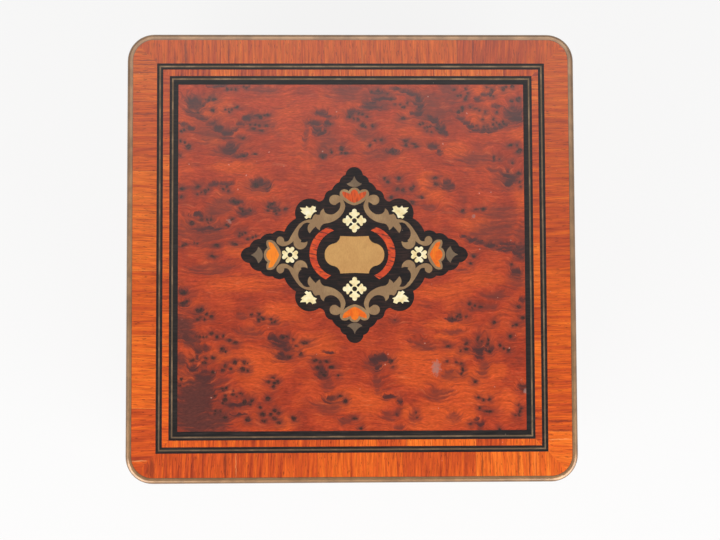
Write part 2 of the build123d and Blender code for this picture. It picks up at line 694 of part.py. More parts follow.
def lid_carcass():
    """Board on rails and corner blocks, with its brass edges and lining."""
    rim = ring(LID_Z, LID_Z + RIM_HEIGHT)
    rail = slab(-LID_BLOCK_INNER, LID_BLOCK_INNER, -CARCASS, -LID_RAIL_INNER, LID_Z, BOARD_Z)
    rails = {name: less(turned(rail, angle), [rim] + LID_HINGE_SEATS) for name, angle in FACES.items()}
    block = corner_post(LID_Z, BOARD_Z, LID_BLOCK_INNER) - rim
    blocks = [turned(block, angle) for angle in FACES.values()]
    seat = lock_rod(LID_Z, STRIKE_TOP, STRIKE_RADIUS)
    pocket = lock_rod(STRIKE_TOP, POCKET_TOP, TEE_LENGTH / 2 + TEE_CLEARANCE)
    inner = LID_RAIL_INNER
    card = slab(-inner, inner, -inner, inner, BOARD_Z - LID_CARD, BOARD_Z)
    return {
        "lid_board": [plate(CARCASS, CARCASS_RADIUS, BOARD_Z, BOARD_TOP) - ring(EDGE_Z, LID_TOP)],
        "lid_front_rail": [rails["front"]],
        "lid_side_rails": [rails["left"], rails["right"]],
        "lid_back_rail": [rails["back"]],
        "lid_lock_block": [blocks[0] - seat - pocket],
        "lid_corner_blocks": blocks[1:],
        "lid_lining": [less(card, blocks)],
        "lid_brass_edge": [lid_edge()],
        "lid_brass_rim": [less(rim, LID_HINGE_SEATS)],
    }


# Drawer

def drawer_nodes():
    """A shallow tray whose front carries the right-hand plinth moulding."""
    z0, z1 = BASE_TOP + DRAWER_GAP, PLINTH_TOP - DRAWER_GAP
    half = POST_INNER - RUNNER_WIDTH - DRAWER_GAP
    inner = half - DRAWER_SIDE
    face = CARCASS + DRAWER_FACE_GAP
    front = face - DRAWER_FRONT
    back = DRAWER_BACK_SPACE - WALL_INNER
    moulding = plinth_strip(CORNER - DRAWER_FACE_GAP)
    moulding -= slab(CARCASS, face, -CORNER, CORNER, FOOT_HEIGHT, PLINTH_TOP)
    moulding -= slab(CARCASS, HALF, -CORNER, CORNER, PLINTH_TOP - DRAWER_FACE_GAP, PLINTH_TOP)
    return {
        "drawer_moulding": [moulding],
        "drawer_front": [slab(front, face, -half, half, z0, z1)],
        "drawer_sides": above_and_below(slab(back, front, inner, half, z0, z1)),
        "drawer_back": [slab(back, back + DRAWER_SIDE, -inner, inner, z0, z1)],
        "drawer_bottom": [slab(back + DRAWER_SIDE, front, -inner, inner, z0, z0 + DRAWER_BOTTOM)],
    }


def all_nodes():
    """Every node by name, with its solids."""
    return {
        **case_inside(),
        **case_carcass(),
        **plinth_nodes(),
        **fixed_feet(),
        **face_nodes("case", PLINTH_TOP, RIM_Z - RIM_HEIGHT, FACE_BAND, CASE_HINGE_SEATS),
        **lid_carcass(),
        **lid_border(),
        **lid_marquetry(),
        **face_nodes("lid_face", LID_Z + RIM_HEIGHT, EDGE_Z, LID_FACE_BAND, LID_HINGE_SEATS),
        **hinge_nodes(),
        **lock_nodes(),
        **drawer_nodes(),
    }


os.makedirs("parts", exist_ok=True)
for node, solids in all_nodes().items():
    export_step(Compound(label=node, children=solids), f"parts/{node}.step")
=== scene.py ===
from math import asin, cos, pi, radians, sin

import bpy
from mathutils import Matrix, Vector


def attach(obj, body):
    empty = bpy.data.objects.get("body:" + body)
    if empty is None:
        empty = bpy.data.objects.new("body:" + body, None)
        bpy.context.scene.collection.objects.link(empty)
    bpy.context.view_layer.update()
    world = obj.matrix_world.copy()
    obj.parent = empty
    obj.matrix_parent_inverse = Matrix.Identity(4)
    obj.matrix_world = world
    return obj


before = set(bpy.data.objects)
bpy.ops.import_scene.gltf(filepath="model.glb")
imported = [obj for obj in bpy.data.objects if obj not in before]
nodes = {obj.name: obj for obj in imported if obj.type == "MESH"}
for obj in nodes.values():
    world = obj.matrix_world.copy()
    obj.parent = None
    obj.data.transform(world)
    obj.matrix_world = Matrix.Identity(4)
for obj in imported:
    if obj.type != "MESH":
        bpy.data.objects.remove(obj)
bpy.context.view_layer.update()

# Marquetry puzzle box: procedural veneers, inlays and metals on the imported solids, and the small
# fasteners. Object coordinates are metres; inside the materials they are turned into millimetres.

MM = 0.001


def rgb(red, green, blue):
    """Linear colour for display values from 0 to 255."""
    def linear(value):
        value /= 255
        return value / 12.92 if value <= 0.04045 else ((value + 0.055) / 1.055) ** 2.4
    return linear(red), linear(green), linear(blue), 1.0


class Paint:
    """A procedural material, built node by node. Its coordinates are in millimetres."""

    def __init__(self, name):
        self.material = bpy.data.materials.new(name)
        self.material.use_nodes = True
        self.tree = self.material.node_tree
        self.shader = self.tree.nodes["Principled BSDF"]
        coordinates = self.tree.nodes.new("ShaderNodeTexCoord")
        self.facing = coordinates.outputs["Normal"]
        self.place = self.vector("SCALE", coordinates.outputs["Object"], Scale=1 / MM)

    def put(self, socket, value):
        """Links a socket to another, or gives it a constant."""
        if isinstance(value, bpy.types.NodeSocket):
            self.tree.links.new(value, socket)
        else:
            socket.default_value = value

    def math(self, operation, first, second=0.0, third=0.0):
        node = self.tree.nodes.new("ShaderNodeMath")
        node.operation = operation
        for socket, value in zip(node.inputs, (first, second, third)):
            self.put(socket, value)
        return node.outputs[0]

    def vector(self, operation, first, second=(0, 0, 0), third=(0, 0, 0), **named):
        node = self.tree.nodes.new("ShaderNodeVectorMath")
        node.operation = operation
        for socket, value in zip(node.inputs, (first, second, third)):
            self.put(socket, value)
        for name, value in named.items():
            self.put(node.inputs[name], value)
        return node.outputs["Value" if operation in ("LENGTH", "DISTANCE") else "Vector"]

    def parts(self, vector):
        node = self.tree.nodes.new("ShaderNodeSeparateXYZ")
        self.put(node.inputs[0], vector)
        return node.outputs

    def join(self, x, y, z=0.0):
        node = self.tree.nodes.new("ShaderNodeCombineXYZ")
        for socket, value in zip(node.inputs, (x, y, z)):
            self.put(socket, value)
        return node.outputs[0]

    def noise(self, vector, scale=1.0, detail=2.0, rough=0.5, colour=False):
        node = self.tree.nodes.new("ShaderNodeTexNoise")
        self.put(node.inputs["Vector"], vector)
        node.inputs["Scale"].default_value = scale
        node.inputs["Detail"].default_value = detail
        node.inputs["Roughness"].default_value = rough
        return node.outputs["Color" if colour else 0]

    def scaled(self, x, y, scale_x, scale_y, z=0.0):
        """The point x, y with each coordinate scaled, at the height z."""
        return self.join(self.math("MULTIPLY", x, scale_x), self.math("MULTIPLY", y, scale_y), z)

    def wander(self, point, scale, detail=2.0, rough=0.5):
        """A random shift for each point, up to half a unit either way."""
        return self.vector("SUBTRACT", self.noise(point, scale, detail, rough, colour=True), (0.5, 0.5, 0.5))

    def cells(self, vector, scale):
        """Distance to the nearest scattered point, and a random colour for each."""
        node = self.tree.nodes.new("ShaderNodeTexVoronoi")
        self.put(node.inputs["Vector"], vector)
        node.inputs["Scale"].default_value = scale
        return node.outputs["Distance"], node.outputs["Color"]

    def chance(self, value):
        """A random number for each whole value."""
        node = self.tree.nodes.new("ShaderNodeTexWhiteNoise")
        node.noise_dimensions = "1D"
        self.put(node.inputs["W"], value)
        return node.outputs["Value"]

    def fade(self, value, start, end, low=0.0, high=1.0):
        """Smooth step from low at start to high at end."""
        node = self.tree.nodes.new("ShaderNodeMapRange")
        node.interpolation_type = "SMOOTHSTEP"
        for socket, number in zip(node.inputs, (value, start, end, low, high)):
            self.put(socket, number)
        return node.outputs[0]

    def blend(self, factor, first, second):
        """Mix of two colours, the second by the factor."""
        node = self.tree.nodes.new("ShaderNodeMix")
        node.data_type = "RGBA"
        for index, value in zip((0, 6, 7), (factor, first, second)):
            self.put(node.inputs[index], value)
        return node.outputs[2]

    def ramp(self, value, *stops):
        """Colour ramp with stops of position and colour."""
        node = self.tree.nodes.new("ShaderNodeValToRGB")
        self.put(node.inputs[0], value)
        elements = node.color_ramp.elements
        while len(elements) < len(stops):
            elements.new(0.5)
        for element, (position, colour) in zip(elements, stops):
            element.position = position
            element.color = colour
        return node.outputs[0]

    def bump(self, height, distance, strength=0.5):
        """Relief of the given depth in millimetres."""
        node = self.tree.nodes.new("ShaderNodeBump")
        node.inputs["Strength"].default_value = strength
        node.inputs["Distance"].default_value = distance * MM
        self.put(node.inputs["Height"], height)
        return node.outputs[0]

    def shade(self, tone, colour):
        """Darkens or lightens a colour by a factor."""
        return self.vector("SCALE", colour, Scale=tone)

    def finish(self, colour, roughness, normal, **constants):
        """Gives the shader its inputs. Constants are named as its sockets are, with underscores."""
        self.put(self.shader.inputs["Base Color"], colour)
        self.put(self.shader.inputs["Roughness"], roughness)
        self.put(self.shader.inputs["Normal"], normal)
        for name, value in constants.items():
            self.shader.inputs[name.replace("_", " ")].default_value = value
        return self.material

    def nearest(self, point, ellipses):
        """Distance to the nearest of the ellipses (x, y, reach in x, reach in y), 1 on its edge."""
        least = None
        for x, y, reach_x, reach_y in ellipses:
            scaled = self.vector("MULTIPLY_ADD", point, (1 / reach_x, 1 / reach_y, 0),
                                 (-x / reach_x, -y / reach_y, 0))
            distance = self.vector("LENGTH", scaled)
            least = distance if least is None else self.math("MINIMUM", least, distance)
        return least

    def closest(self, point, places):
        """Distance in millimetres to the closest of the places."""
        least = None
        for x, y in places:
            distance = self.vector("DISTANCE", point, (x, y, 0))
            least = distance if least is None else self.math("MINIMUM", least, distance)
        return least


# Figure of the lid, in millimetres from its middle. Eyes, by radius, and flecks of dust have
# the x and y of each. All others have x, y and the reach along X and Y: oval eyes, smoke, haze, clear and
# dark patches of the burl, streaks and open seams of the outer banding, and worn spots.

EYES = {
    0.36: [
        (-36, 57.1), (-34.3, 57.2), (-47.5, 53.4), (-50.5, 51.3), (-49.6, 50.7), (-48.8, 52.8),
        (-41, 49.6), (-50.1, 21.5), (-51.4, 20.9), (-48.9, 21.1), (9, 56.1), (14.7, 51.2), (16.5, 51.1),
        (-6.9, 35.8), (12.9, 35), (37.3, 49), (40, 50.2), (43, 49.1), (45, 48.4), (45.7, 56.9),
        (48.8, 45), (44.5, 43.6), (45.7, 43.6), (42.1, 43.8), (40.9, 43.6), (26.9, 41.8), (25.5, 42.1),
        (24.6, 43.2), (49.6, 32.6), (56.7, 23.2), (-47.8, 11.5), (-37.2, 7.8), (-51.3, 4.4),
        (-52.3, 4.8), (-45.7, -0.2), (-51.5, -26.5), (-34.6, -35.3), (-38.2, -46.3), (-36.5, -45.7),
        (-39.4, -44.6), (-33.8, -49), (-45.5, -51.9), (-25.3, -21.3), (13.5, -36.7), (14.2, -21.3),
        (36.3, -20.5), (53.6, -23.2), (43.2, -28.4), (36.2, -35.7), (40.1, -17.4), (55.3, -49.6),
        (54.2, -53), (21, -51.8), (21.4, -53.5), (39.3, -55.7), (-8.8, -38.6),
    ],
    0.5: [
        (-41.5, 56.4), (-40.2, 56.4), (-38.8, 56.2), (-35.2, 56.7), (-47.7, 52.6), (-42.1, 49.4),
        (-40, 49.5), (-40.8, 48.6), (-51.3, 48.4), (-55.9, 42.7), (-56.9, 42.1), (-57.1, 38.8),
        (-55.7, 38.3), (-57.1, 34.1), (-32.1, 44.4), (-33.7, 44.2), (-30.8, 44), (-56.7, 20),
        (-47.8, 22.5), (-42.8, 22.5), (-41.5, 23.4), (-41, 22), (6.9, 55.5), (9.2, 55.5), (12.1, 54.8),
        (13.3, 52.8), (18.8, 51.5), (2.5, 48), (3.8, 47.8), (5.2, 46.9), (0.8, 46.3), (-0.5, 46.9),
        (4.8, 43.5), (-10.4, 42.2), (-8.8, 42.3), (-6.9, 44.5), (8, 38.9), (10.1, 39), (6.2, 37.3),
        (-6.7, 35), (-3.3, 34.8), (34.6, 56.1), (35.9, 54.1), (36.7, 54), (38.8, 53.8), (39.3, 54.8),
        (38.6, 56.5), (44.2, 46.1), (47.8, 46), (52, 57.1), (47.8, 53.9), (46.9, 54.1), (49, 48.4),
        (50.9, 45.3), (47.8, 44.2), (49.8, 44.4), (51.3, 44.4), (24, 44.8), (23, 44.2), (25.5, 43.4),
        (26.4, 43.7), (29, 42.8), (55.7, 37.1), (56.7, 35.7), (54, 31.3), (56.3, 24.8), (20.7, 23.6),
        (-37.8, 18.1), (-39.6, 18.6), (-37.3, 16.2), (-36.3, 15.1), (-33.8, 15.4), (-25.7, 18),
        (-27.8, 16.7), (-27.8, 15.6), (-25, 14.4), (-48.1, 12.3), (-46.9, 12.4), (-39.8, 12.5),
        (-41.1, 10.2), (-37.5, 7.1), (-36.5, 7.5), (-35.5, 8), (-33, 6.5), (-31.9, 6.9), (-39.6, 4.6),
        (-38.4, 4.1), (-55.4, 4.1), (-56.7, -15.4), (-50, -17.3), (-48.2, -19), (-33.4, -19.2),
        (-49, -20.7), (-50.3, -20.2), (-42.8, -26.3), (-50.5, -26.5), (-49.3, -26.7), (-48.2, -26.5),
        (-41.9, -31.4), (-40.2, -37.2), (-57.1, -42.5), (-42.1, -45.9), (-37.1, -45.2), (-45.5, -46),
        (-42.8, -48.4), (-43.6, -51), (-45.2, -51), (-31, -19.5), (-29.9, -20.3), (-26.9, -20.9),
        (-25.7, -21.7), (-26.5, -21.9), (-21.7, -26.5), (-19.5, -27.5), (-10.6, -35), (-10.2, -38.4),
        (-4.6, -39.5), (2.8, -57), (14.8, -52.5), (35, -20.2), (33.4, -20.7), (38, -20.2),
        (45.2, -29.2), (36.1, -31.5), (31.5, -35), (34.6, -35.2), (36.4, -39.2), (40.9, -16.6),
        (39.7, -2.4), (53.4, -2.9), (42.1, -47.1), (43.4, -47.8), (45.5, -47.8), (42.3, -50.5),
        (56.1, -50.7), (55.2, -52.8), (48.8, -57.6), (35.5, -19.6), (50.5, -30.7),
    ],
    0.66: [
        (-46.3, 49), (-48.8, 22), (2.2, 46), (7.1, 44), (-9.4, 33.6), (14, 35), (18.3, 37.4),
        (11, 26.1), (12.1, 25), (15.9, 26.1), (15.4, 22.5), (17.2, 22.3), (19.9, 22.6), (13.3, 19.8),
        (38.4, 53), (37.3, 49.8), (36.1, 48.6), (47.3, 55.7), (51.1, 56.3), (54.2, 57.3), (54, 52.3),
        (-36.5, 16), (-25.7, 15.4), (-24.5, 15.7), (-21.9, 16), (-54.8, -14.7), (-30.9, -19.2),
        (-31, -21.3), (-29.5, -20.6), (-46.7, -20), (-46.6, -25.5), (-44.8, -26.5), (-38.8, -35.2),
        (-42, -36.2), (-42.8, -37.6), (-35.8, -35.1), (-34.6, -37.8), (-46.3, -38.3), (-56.5, -40.5),
        (-25.7, -42.1), (-24.8, -41.5), (-26.1, -43.2), (-41.7, -43.4), (-33.2, -47.6), (-30.5, -50),
        (-27, -52.2), (-25.7, -51), (-24.4, -51.9), (-23, -26.9), (-17, -32.4), (-2.3, -48),
        (37.1, 15.2), (40.7, 0.1), (35.7, -19.8), (47.3, -22.1), (56.9, -20.7), (52.8, -26.8),
        (38, -29.2), (52.1, -31.5), (45.7, -31.9), (40.7, -41.7), (39.2, -15.9),
    ],
    0.9: [
        (-54.5, 37), (3.8, 44.1), (-3.3, 36.2), (56.1, 52.8), (56.2, 35.3), (-53.2, 11.3), (-43, -30.8),
        (-36.3, -37.3), (-42.1, -47.3), (-35.7, -48.2), (-28, -47.2), (-29.6, -52.3), (-34.6, -54),
        (-19.4, -53.7), (12.7, -34.8), (-55.9, -15.6),
    ],
}
OVALS = [
    (-46, 52.8, 1, 0.6), (-38.4, 50.2, 0.8, 0.4), (-30.5, 46.8, 0.8, 0.6), (-28.4, 47.5, 1.2, 0.5),
    (-28.4, 43.9, 0.8, 0.5), (-32.8, 43, 0.9, 0.6), (-30.2, 42.3, 0.9, 0.5), (-36.5, 39.8, 1, 0.5),
    (-35.9, 33.7, 0.8, 0.5), (-32.3, 34.4, 0.8, 0.5), (-56.5, 22.8, 0.9, 0.6), (-51.3, 23.4, 0.9, 0.7),
    (-31.9, 23.8, 1.3, 0.9), (17.5, 50.2, 0.8, 0.5), (17.3, 46.3, 0.9, 0.6), (18.1, 38.7, 0.9, 0.5),
    (-1.9, 34.8, 0.9, 0.5), (41.7, 49.6, 0.8, 0.4), (20.9, 37.8, 1, 0.5), (21.6, 36.9, 0.8, 0.5),
    (53.4, 37.3, 0.8, 0.5), (47.8, 33, 0.5, 0.9), (28, 26.1, 0.9, 0.5), (28.4, 24.2, 1.1, 0.7),
    (20, 22.8, 0.8, 0.5), (23.4, 19.8, 0.9, 0.6), (-38.8, 18.3, 1.2, 0.6), (-26.5, 17.5, 1.1, 0.5),
    (-50, 12.4, 0.9, 0.6), (-41.7, 10.6, 0.8, 0.5), (-34.6, 6, 0.7, 0.5), (-39, 4.2, 1, 0.6),
    (-45, 3.8, 1, 0.6), (-56.1, 3.8, 0.8, 0.5), (-46.3, 0.2, 1, 0.5), (-55.9, -12, 1.4, 0.7),
    (-50.9, -17.8, 1.3, 0.6), (-51.1, -20.9, 0.8, 0.6), (-38.8, -28.5, 0.9, 0.6),
    (-40.7, -27.8, 0.8, 0.5), (-46.1, -33.5, 0.8, 0.6), (-48.4, -33.7, 0.7, 0.5), (-49, -35, 1, 0.5),
    (-53, -34.3, 1, 0.7), (-27.8, -41.5, 0.8, 0.5), (-26.2, -40.2, 0.7, 0.4), (-42.8, -44, 0.9, 0.6),
    (-39.5, -45.7, 0.8, 0.5), (-25.8, -53.6, 0.9, 0.6), (-29.4, -54.4, 1, 0.7), (-24.3, -55, 0.9, 0.5),
    (-42.1, -53.2, 0.8, 0.6), (-20.9, -33.4, 0.9, 0.6), (-15.8, -28.7, 1.4, 0.6),
    (-18.5, -29.6, 0.7, 0.4), (-8.5, -34.8, 0.9, 0.6), (-6.9, -36.8, 1, 0.6), (-11.5, -36.9, 0.8, 0.5),
    (-9.4, -39.4, 1, 0.6), (-12.3, -34.4, 1, 0.7), (-4, -46.3, 0.8, 0.5), (0.8, -53.7, 1, 0.5),
    (44.1, 15.8, 0.9, 0.6), (41.9, 15.6, 0.8, 0.4), (54.6, -23, 0.9, 0.6), (41.9, -27.5, 0.6, 0.9),
    (45.3, -27.9, 0.5, 0.8), (37.8, -31, 0.8, 0.5), (31.9, -30, 0.9, 0.6), (49.2, -29.8, 0.5, 0.7),
    (36.7, -37.8, 0.5, 1), (45.2, -51.6, 1.4, 0.5), (55.7, -51.7, 0.5, 0.9), (42.8, -17, 0.8, 0.5),
    (55.7, -17, 0.9, 0.6), (56.1, 27.8, 0.9, 0.5), (20.2, 18.1, 0.9, 0.6),
]
SMOKE = [
    (-52.3, 52, 3, 2.6), (-53, 49.5, 2.8, 2), (-49.5, 46.8, 2, 0.8), (-46.8, 45, 1.8, 1),
    (-44.2, 43, 1.8, 1.2), (-41.5, 41, 2, 1.5), (-39.3, 42.8, 1.6, 1.2), (-37.3, 44.4, 1.6, 1.1),
    (-35, 46, 1.8, 1), (-32, 47, 2, 0.8), (-45.2, 57.3, 2.5, 0.7), (-56.5, 44.2, 2, 0.8),
    (-53.6, 43, 1.9, 1), (-37.6, 33.9, 2.7, 0.8), (-41, 35.7, 2.6, 2), (-45.7, 24.7, 2.1, 0.7),
    (-41.5, 24.8, 2.6, 0.9), (-31, 24.3, 3.2, 1.9), (-28.4, 23.4, 1.5, 2), (9.2, 55, 2.6, 1),
    (10.8, 52.4, 3.4, 0.7), (6.7, 51.5, 2.2, 0.8), (15.5, 56.6, 2.2, 1), (17.8, 55.5, 2, 1.2),
    (20, 54.6, 1.8, 1.4), (22, 52.8, 1.5, 1.7), (23, 50.3, 1.4, 1.9), (22.4, 47.9, 1.8, 1.2),
    (20.6, 47.8, 1.4, 0.9), (26.3, 46.6, 1.5, 1.1), (28, 45.4, 1.4, 1.3), (29.3, 44, 1.3, 1.4),
    (30.7, 42.5, 1.3, 1.3), (31.8, 41.3, 1, 0.9), (-9.8, 48.2, 1.9, 1.6), (-7.5, 47, 2.2, 0.8),
    (-12, 44.8, 2.6, 1.1), (-12, 42.5, 1.3, 2.3), (-10.4, 40.7, 1.6, 1), (-7.9, 44.2, 1.3, 1.2),
    (5.8, 50, 4.4, 0.9), (0.2, 48.5, 2, 1), (-0.7, 47.6, 1, 0.9), (-9.5, 33.6, 1.6, 1),
    (43, 53, 1.5, 1.1), (44.6, 54.2, 1.2, 0.7), (46.2, 54.4, 1.2, 0.5), (36.8, 46.1, 1.3, 1),
    (38.4, 44.9, 1.3, 1), (39.9, 43.7, 1.3, 1.1), (41.7, 42.6, 1.6, 1.1), (43.8, 42.1, 1.8, 1.1),
    (46, 42.1, 1.8, 1.1), (48, 42.9, 1.6, 1), (50.2, 43.9, 1.7, 1), (52.2, 44.6, 1.4, 0.8),
    (49, 50.7, 2.4, 0.7), (55, 49, 3.4, 2.3), (56, 46.3, 2.6, 1.4), (27.2, 36.6, 2.5, 1.3),
    (29.5, 35, 1.2, 1), (32.2, 23.7, 2.1, 1.7), (53, 26.5, 2.4, 2.6), (52.6, 23.8, 1.8, 1.6),
    (-35.6, 15, 2.5, 1.5), (-47.3, 9.2, 4.5, 1), (-51.8, 14, 3, 0.8), (-26.6, 17.2, 1.8, 1),
    (-38.5, 18.5, 2.2, 1), (37.8, 6.5, 1.6, 0.6), (40.4, 5.6, 2, 0.8), (43.3, 4.4, 2.2, 0.9),
    (46.3, 3.4, 2.2, 1), (49.3, 2.6, 2.3, 1.2), (52.5, 2.4, 2.4, 1.4), (55.8, 2, 2.4, 2),
    (55.7, -0.2, 2, 1.4), (53.2, 4, 4, 0.8), (55.2, -5.6, 2.4, 1.6), (56.9, -14.6, 1, 1.2),
    (-51.1, -30.5, 1.8, 2.1), (-48.7, -30, 2.4, 1.1), (-51.4, -33.2, 1.2, 1.4),
    (-54.8, -27.3, 2.2, 1.1), (-52.4, -37, 1.8, 1.7), (-49.8, -39.5, 3, 2), (-48.2, -42, 2.6, 2.6),
    (-51, -45, 4.5, 4), (-53, -50, 6, 6), (-49, -48, 3.6, 4), (-45.3, -53.5, 4, 1.6), (-50, -55, 7, 3),
    (-38, -49.2, 4, 0.7), (-37.3, -52.1, 2.6, 0.5), (-24, -27.8, 2.6, 1.5), (-26.6, -26.9, 2, 1),
    (-23, -29.5, 3, 1.2), (-20.6, -31, 2, 0.9), (-24, -33.2, 2.6, 1.3), (-7.7, -32, 2.2, 0.6),
    (9.3, -33.6, 2.7, 1.2), (7, -34.9, 1.4, 1.6), (8.8, -37, 1.4, 1.6), (15.8, -48.2, 0.8, 1.7),
    (12.6, -46.5, 2.8, 0.9), (42.3, -32.3, 1.7, 2.4), (45.6, -30.8, 1.7, 1.6), (56.4, -43.5, 1.7, 1.6),
    (42.7, -55.9, 1.3, 1.7), (41.1, -54.3, 1, 1), (33.8, -20.9, 2.6, 0.8), (-56, -12, 1.6, 1),
    (-55.8, -15.4, 1.7, 1.4), (-50.8, -18, 2, 0.9), (14.4, 35.1, 2.6, 0.8), (-6.7, -47, 2.6, 1.2),
    (-10.3, -38.6, 2, 2),
]
HAZE = [
    (-46, 42, 9, 6), (-41, 36, 6, 4), (-52, 51, 6, 5), (-31, 45, 7, 4), (-26, 44.5, 1.6, 2.8),
    (2, 54.5, 8, 3.4), (8, 53, 8, 5), (-15.4, 41, 1.2, 5), (-8, 38, 4, 4), (-9, 35, 5, 2.6),
    (4.6, 40.7, 4.5, 3), (9, 34.4, 6, 2.4), (-42.3, 17.5, 6, 3), (-44, 15.6, 5, 2.4),
    (-54.4, 7.5, 5, 3), (-46.5, 6.7, 6, 1.6), (-56, -24, 4, 5), (-53, -44, 8, 13), (-44.5, -41, 5, 2.4),
    (-40, -50, 9, 4), (-34, -25.2, 4.6, 2.4), (-36.5, -19.8, 2.6, 1.4), (-23, -30, 6, 4),
    (8, -36, 4, 4), (8.3, -42.3, 1.6, 3.6), (-8, -42.3, 3, 3), (-8.5, -50, 7, 3), (-2, -54.8, 3, 1.4),
    (12, -53, 3, 2), (43.6, -37, 2.6, 4), (44, -30, 5, 4.5), (33.6, -53.6, 3, 2.4), (28.6, -46, 5, 2.6),
    (24.4, -29.8, 6, 2.4), (34, -25.4, 5, 1.4), (19.8, -53.6, 1.6, 2.6), (32.3, -39.8, 4, 2.6),
    (55, -7, 4, 4), (52, 26, 5, 5), (47.8, 29, 2.4, 1.6), (54, 47, 5, 5), (25.7, 16.2, 3.6, 1.4),
    (46, -17, 3, 1.4), (36.8, -4.8, 3.6, 0.7), (26, 50, 9, 7), (33, 54, 4, 5), (50, 14, 8, 4),
    (-29, 56, 6, 2), (57, 5, 3, 8), (42, 33, 8, 3), (15, -57, 2, 1.4), (-50, 9, 9, 7),
    (-47, -4, 9, 2.4), (47, 8, 9, 6), (48, -13, 6, 2), (0, 55, 9, 3),
]
CLEAR = [
    (-24, -18.5, 8, 3.6), (-30, -36, 9, 6), (-22, -55.5, 4, 3), (30.2, -26.8, 3.6, 1.4),
    (35, -32.5, 5.4, 2), (31, -22.8, 7, 1.8), (38, -53, 3.4, 4.4), (24.5, -56.5, 8, 3),
    (18.2, -51.6, 2.6, 2.4), (48.5, -38.4, 4, 3), (40, -46.5, 8, 3.6), (-43.5, -33, 5, 1.6),
    (-46, 50, 6, 4.4), (47, 56, 7, 2.2), (43, 47.2, 4.4, 3), (35, 36, 5, 3), (56.5, 41, 4, 2.4),
    (27, 21.6, 4, 3.4), (57, 19, 2.4, 5), (-38, -9, 12, 3), (30, -12, 9, 3), (41, 11, 6, 3),
    (-46.5, 39, 4, 2), (22, -40, 8, 4), (-55, -40.5, 3, 2), (25, 25, 3, 4), (52, -48.5, 3, 4),
    (-38, 2, 4, 2), (44, -8, 8, 2.4), (-40, 30, 9, 2), (2, -48, 12, 4), (22, -34, 9, 4),
    (36, -42, 10, 6), (30, -52, 10, 5), (-12, -30, 8, 5),
]
DARK = [
    (-54, -52, 8.5, 8), (-51.5, -44.5, 5.5, 4.5), (-47, -55, 7, 4), (-56.5, -23, 4, 5.5),
    (-53.5, -28, 3, 2.4), (-57, -34, 2, 3),
]
STREAKS = [
    (-55.5, 69, 0.5, 5), (-41, 69, 0.35, 5), (41, 69, 0.3, 5), (-42, -69, 0.6, 5), (43, -69, 0.4, 5),
    (55, -69, 0.4, 5), (58.7, -69, 0.35, 5), (69, -55, 5, 0.4), (69, -58, 5, 0.35), (-69, 66, 5, 0.3),
    (-69, 64.6, 5, 0.3), (-69, 62, 5, 0.35), (-69, 48, 5, 0.35), (-67.4, -70.5, 0.3, 3.4),
    (-66.2, -70, 1, 4),
]
SEAMS = [
    (-38.5, -69, 0.16, 5), (69, -61, 5, 0.2), (-70.5, -67.3, 3.2, 0.22),
]
WORN = [
    (27.9, -37.2, 1.5, 2.4), (-40.8, 11.8, 0.8, 0.7), (57.6, -45, 0.6, 0.8), (40.8, 13.3, 0.7, 0.6),
]
FLECKS = [
    (-54.3, 31), (-41, 30.9), (-27.6, 35.2), (-22.7, 30.2), (-35.1, 27.3), (-38, 22.7), (38.8, 48.1),
    (30.7, 37.8), (25.9, 53.8), (42.8, 21.2), (46.6, 21.5), (2.5, -44), (11.9, -32.3), (11, -35.9),
    (-9.7, 35.3), (-5, 48.8), (42.8, 2.4), (53.2, 5.4), (48.6, -13.8), (28.6, -50.4), (24.2, -28.8),
    (47.4, -43.4), (52.2, -30.6), (-46.7, -46.7),
]

BURL_GROUND = [
    (0.3, rgb(142, 51, 32)), (0.46, rgb(167, 60, 34)), (0.58, rgb(180, 68, 35)), (0.74, rgb(193, 77, 36)),
]
BURL_CLEAR = rgb(203, 83, 36)
BURL_DARK_STREAK = rgb(96, 38, 30)
BURL_PALE_STREAK = rgb(236, 132, 84)
BURL_DUSK = rgb(102, 48, 40)
BURL_VEIL = rgb(60, 38, 38)
BURL_MAROON = [rgb(74, 40, 37), rgb(100, 52, 44)]
BURL_RIM = rgb(84, 44, 37)
BURL_EYE = rgb(42, 33, 30)


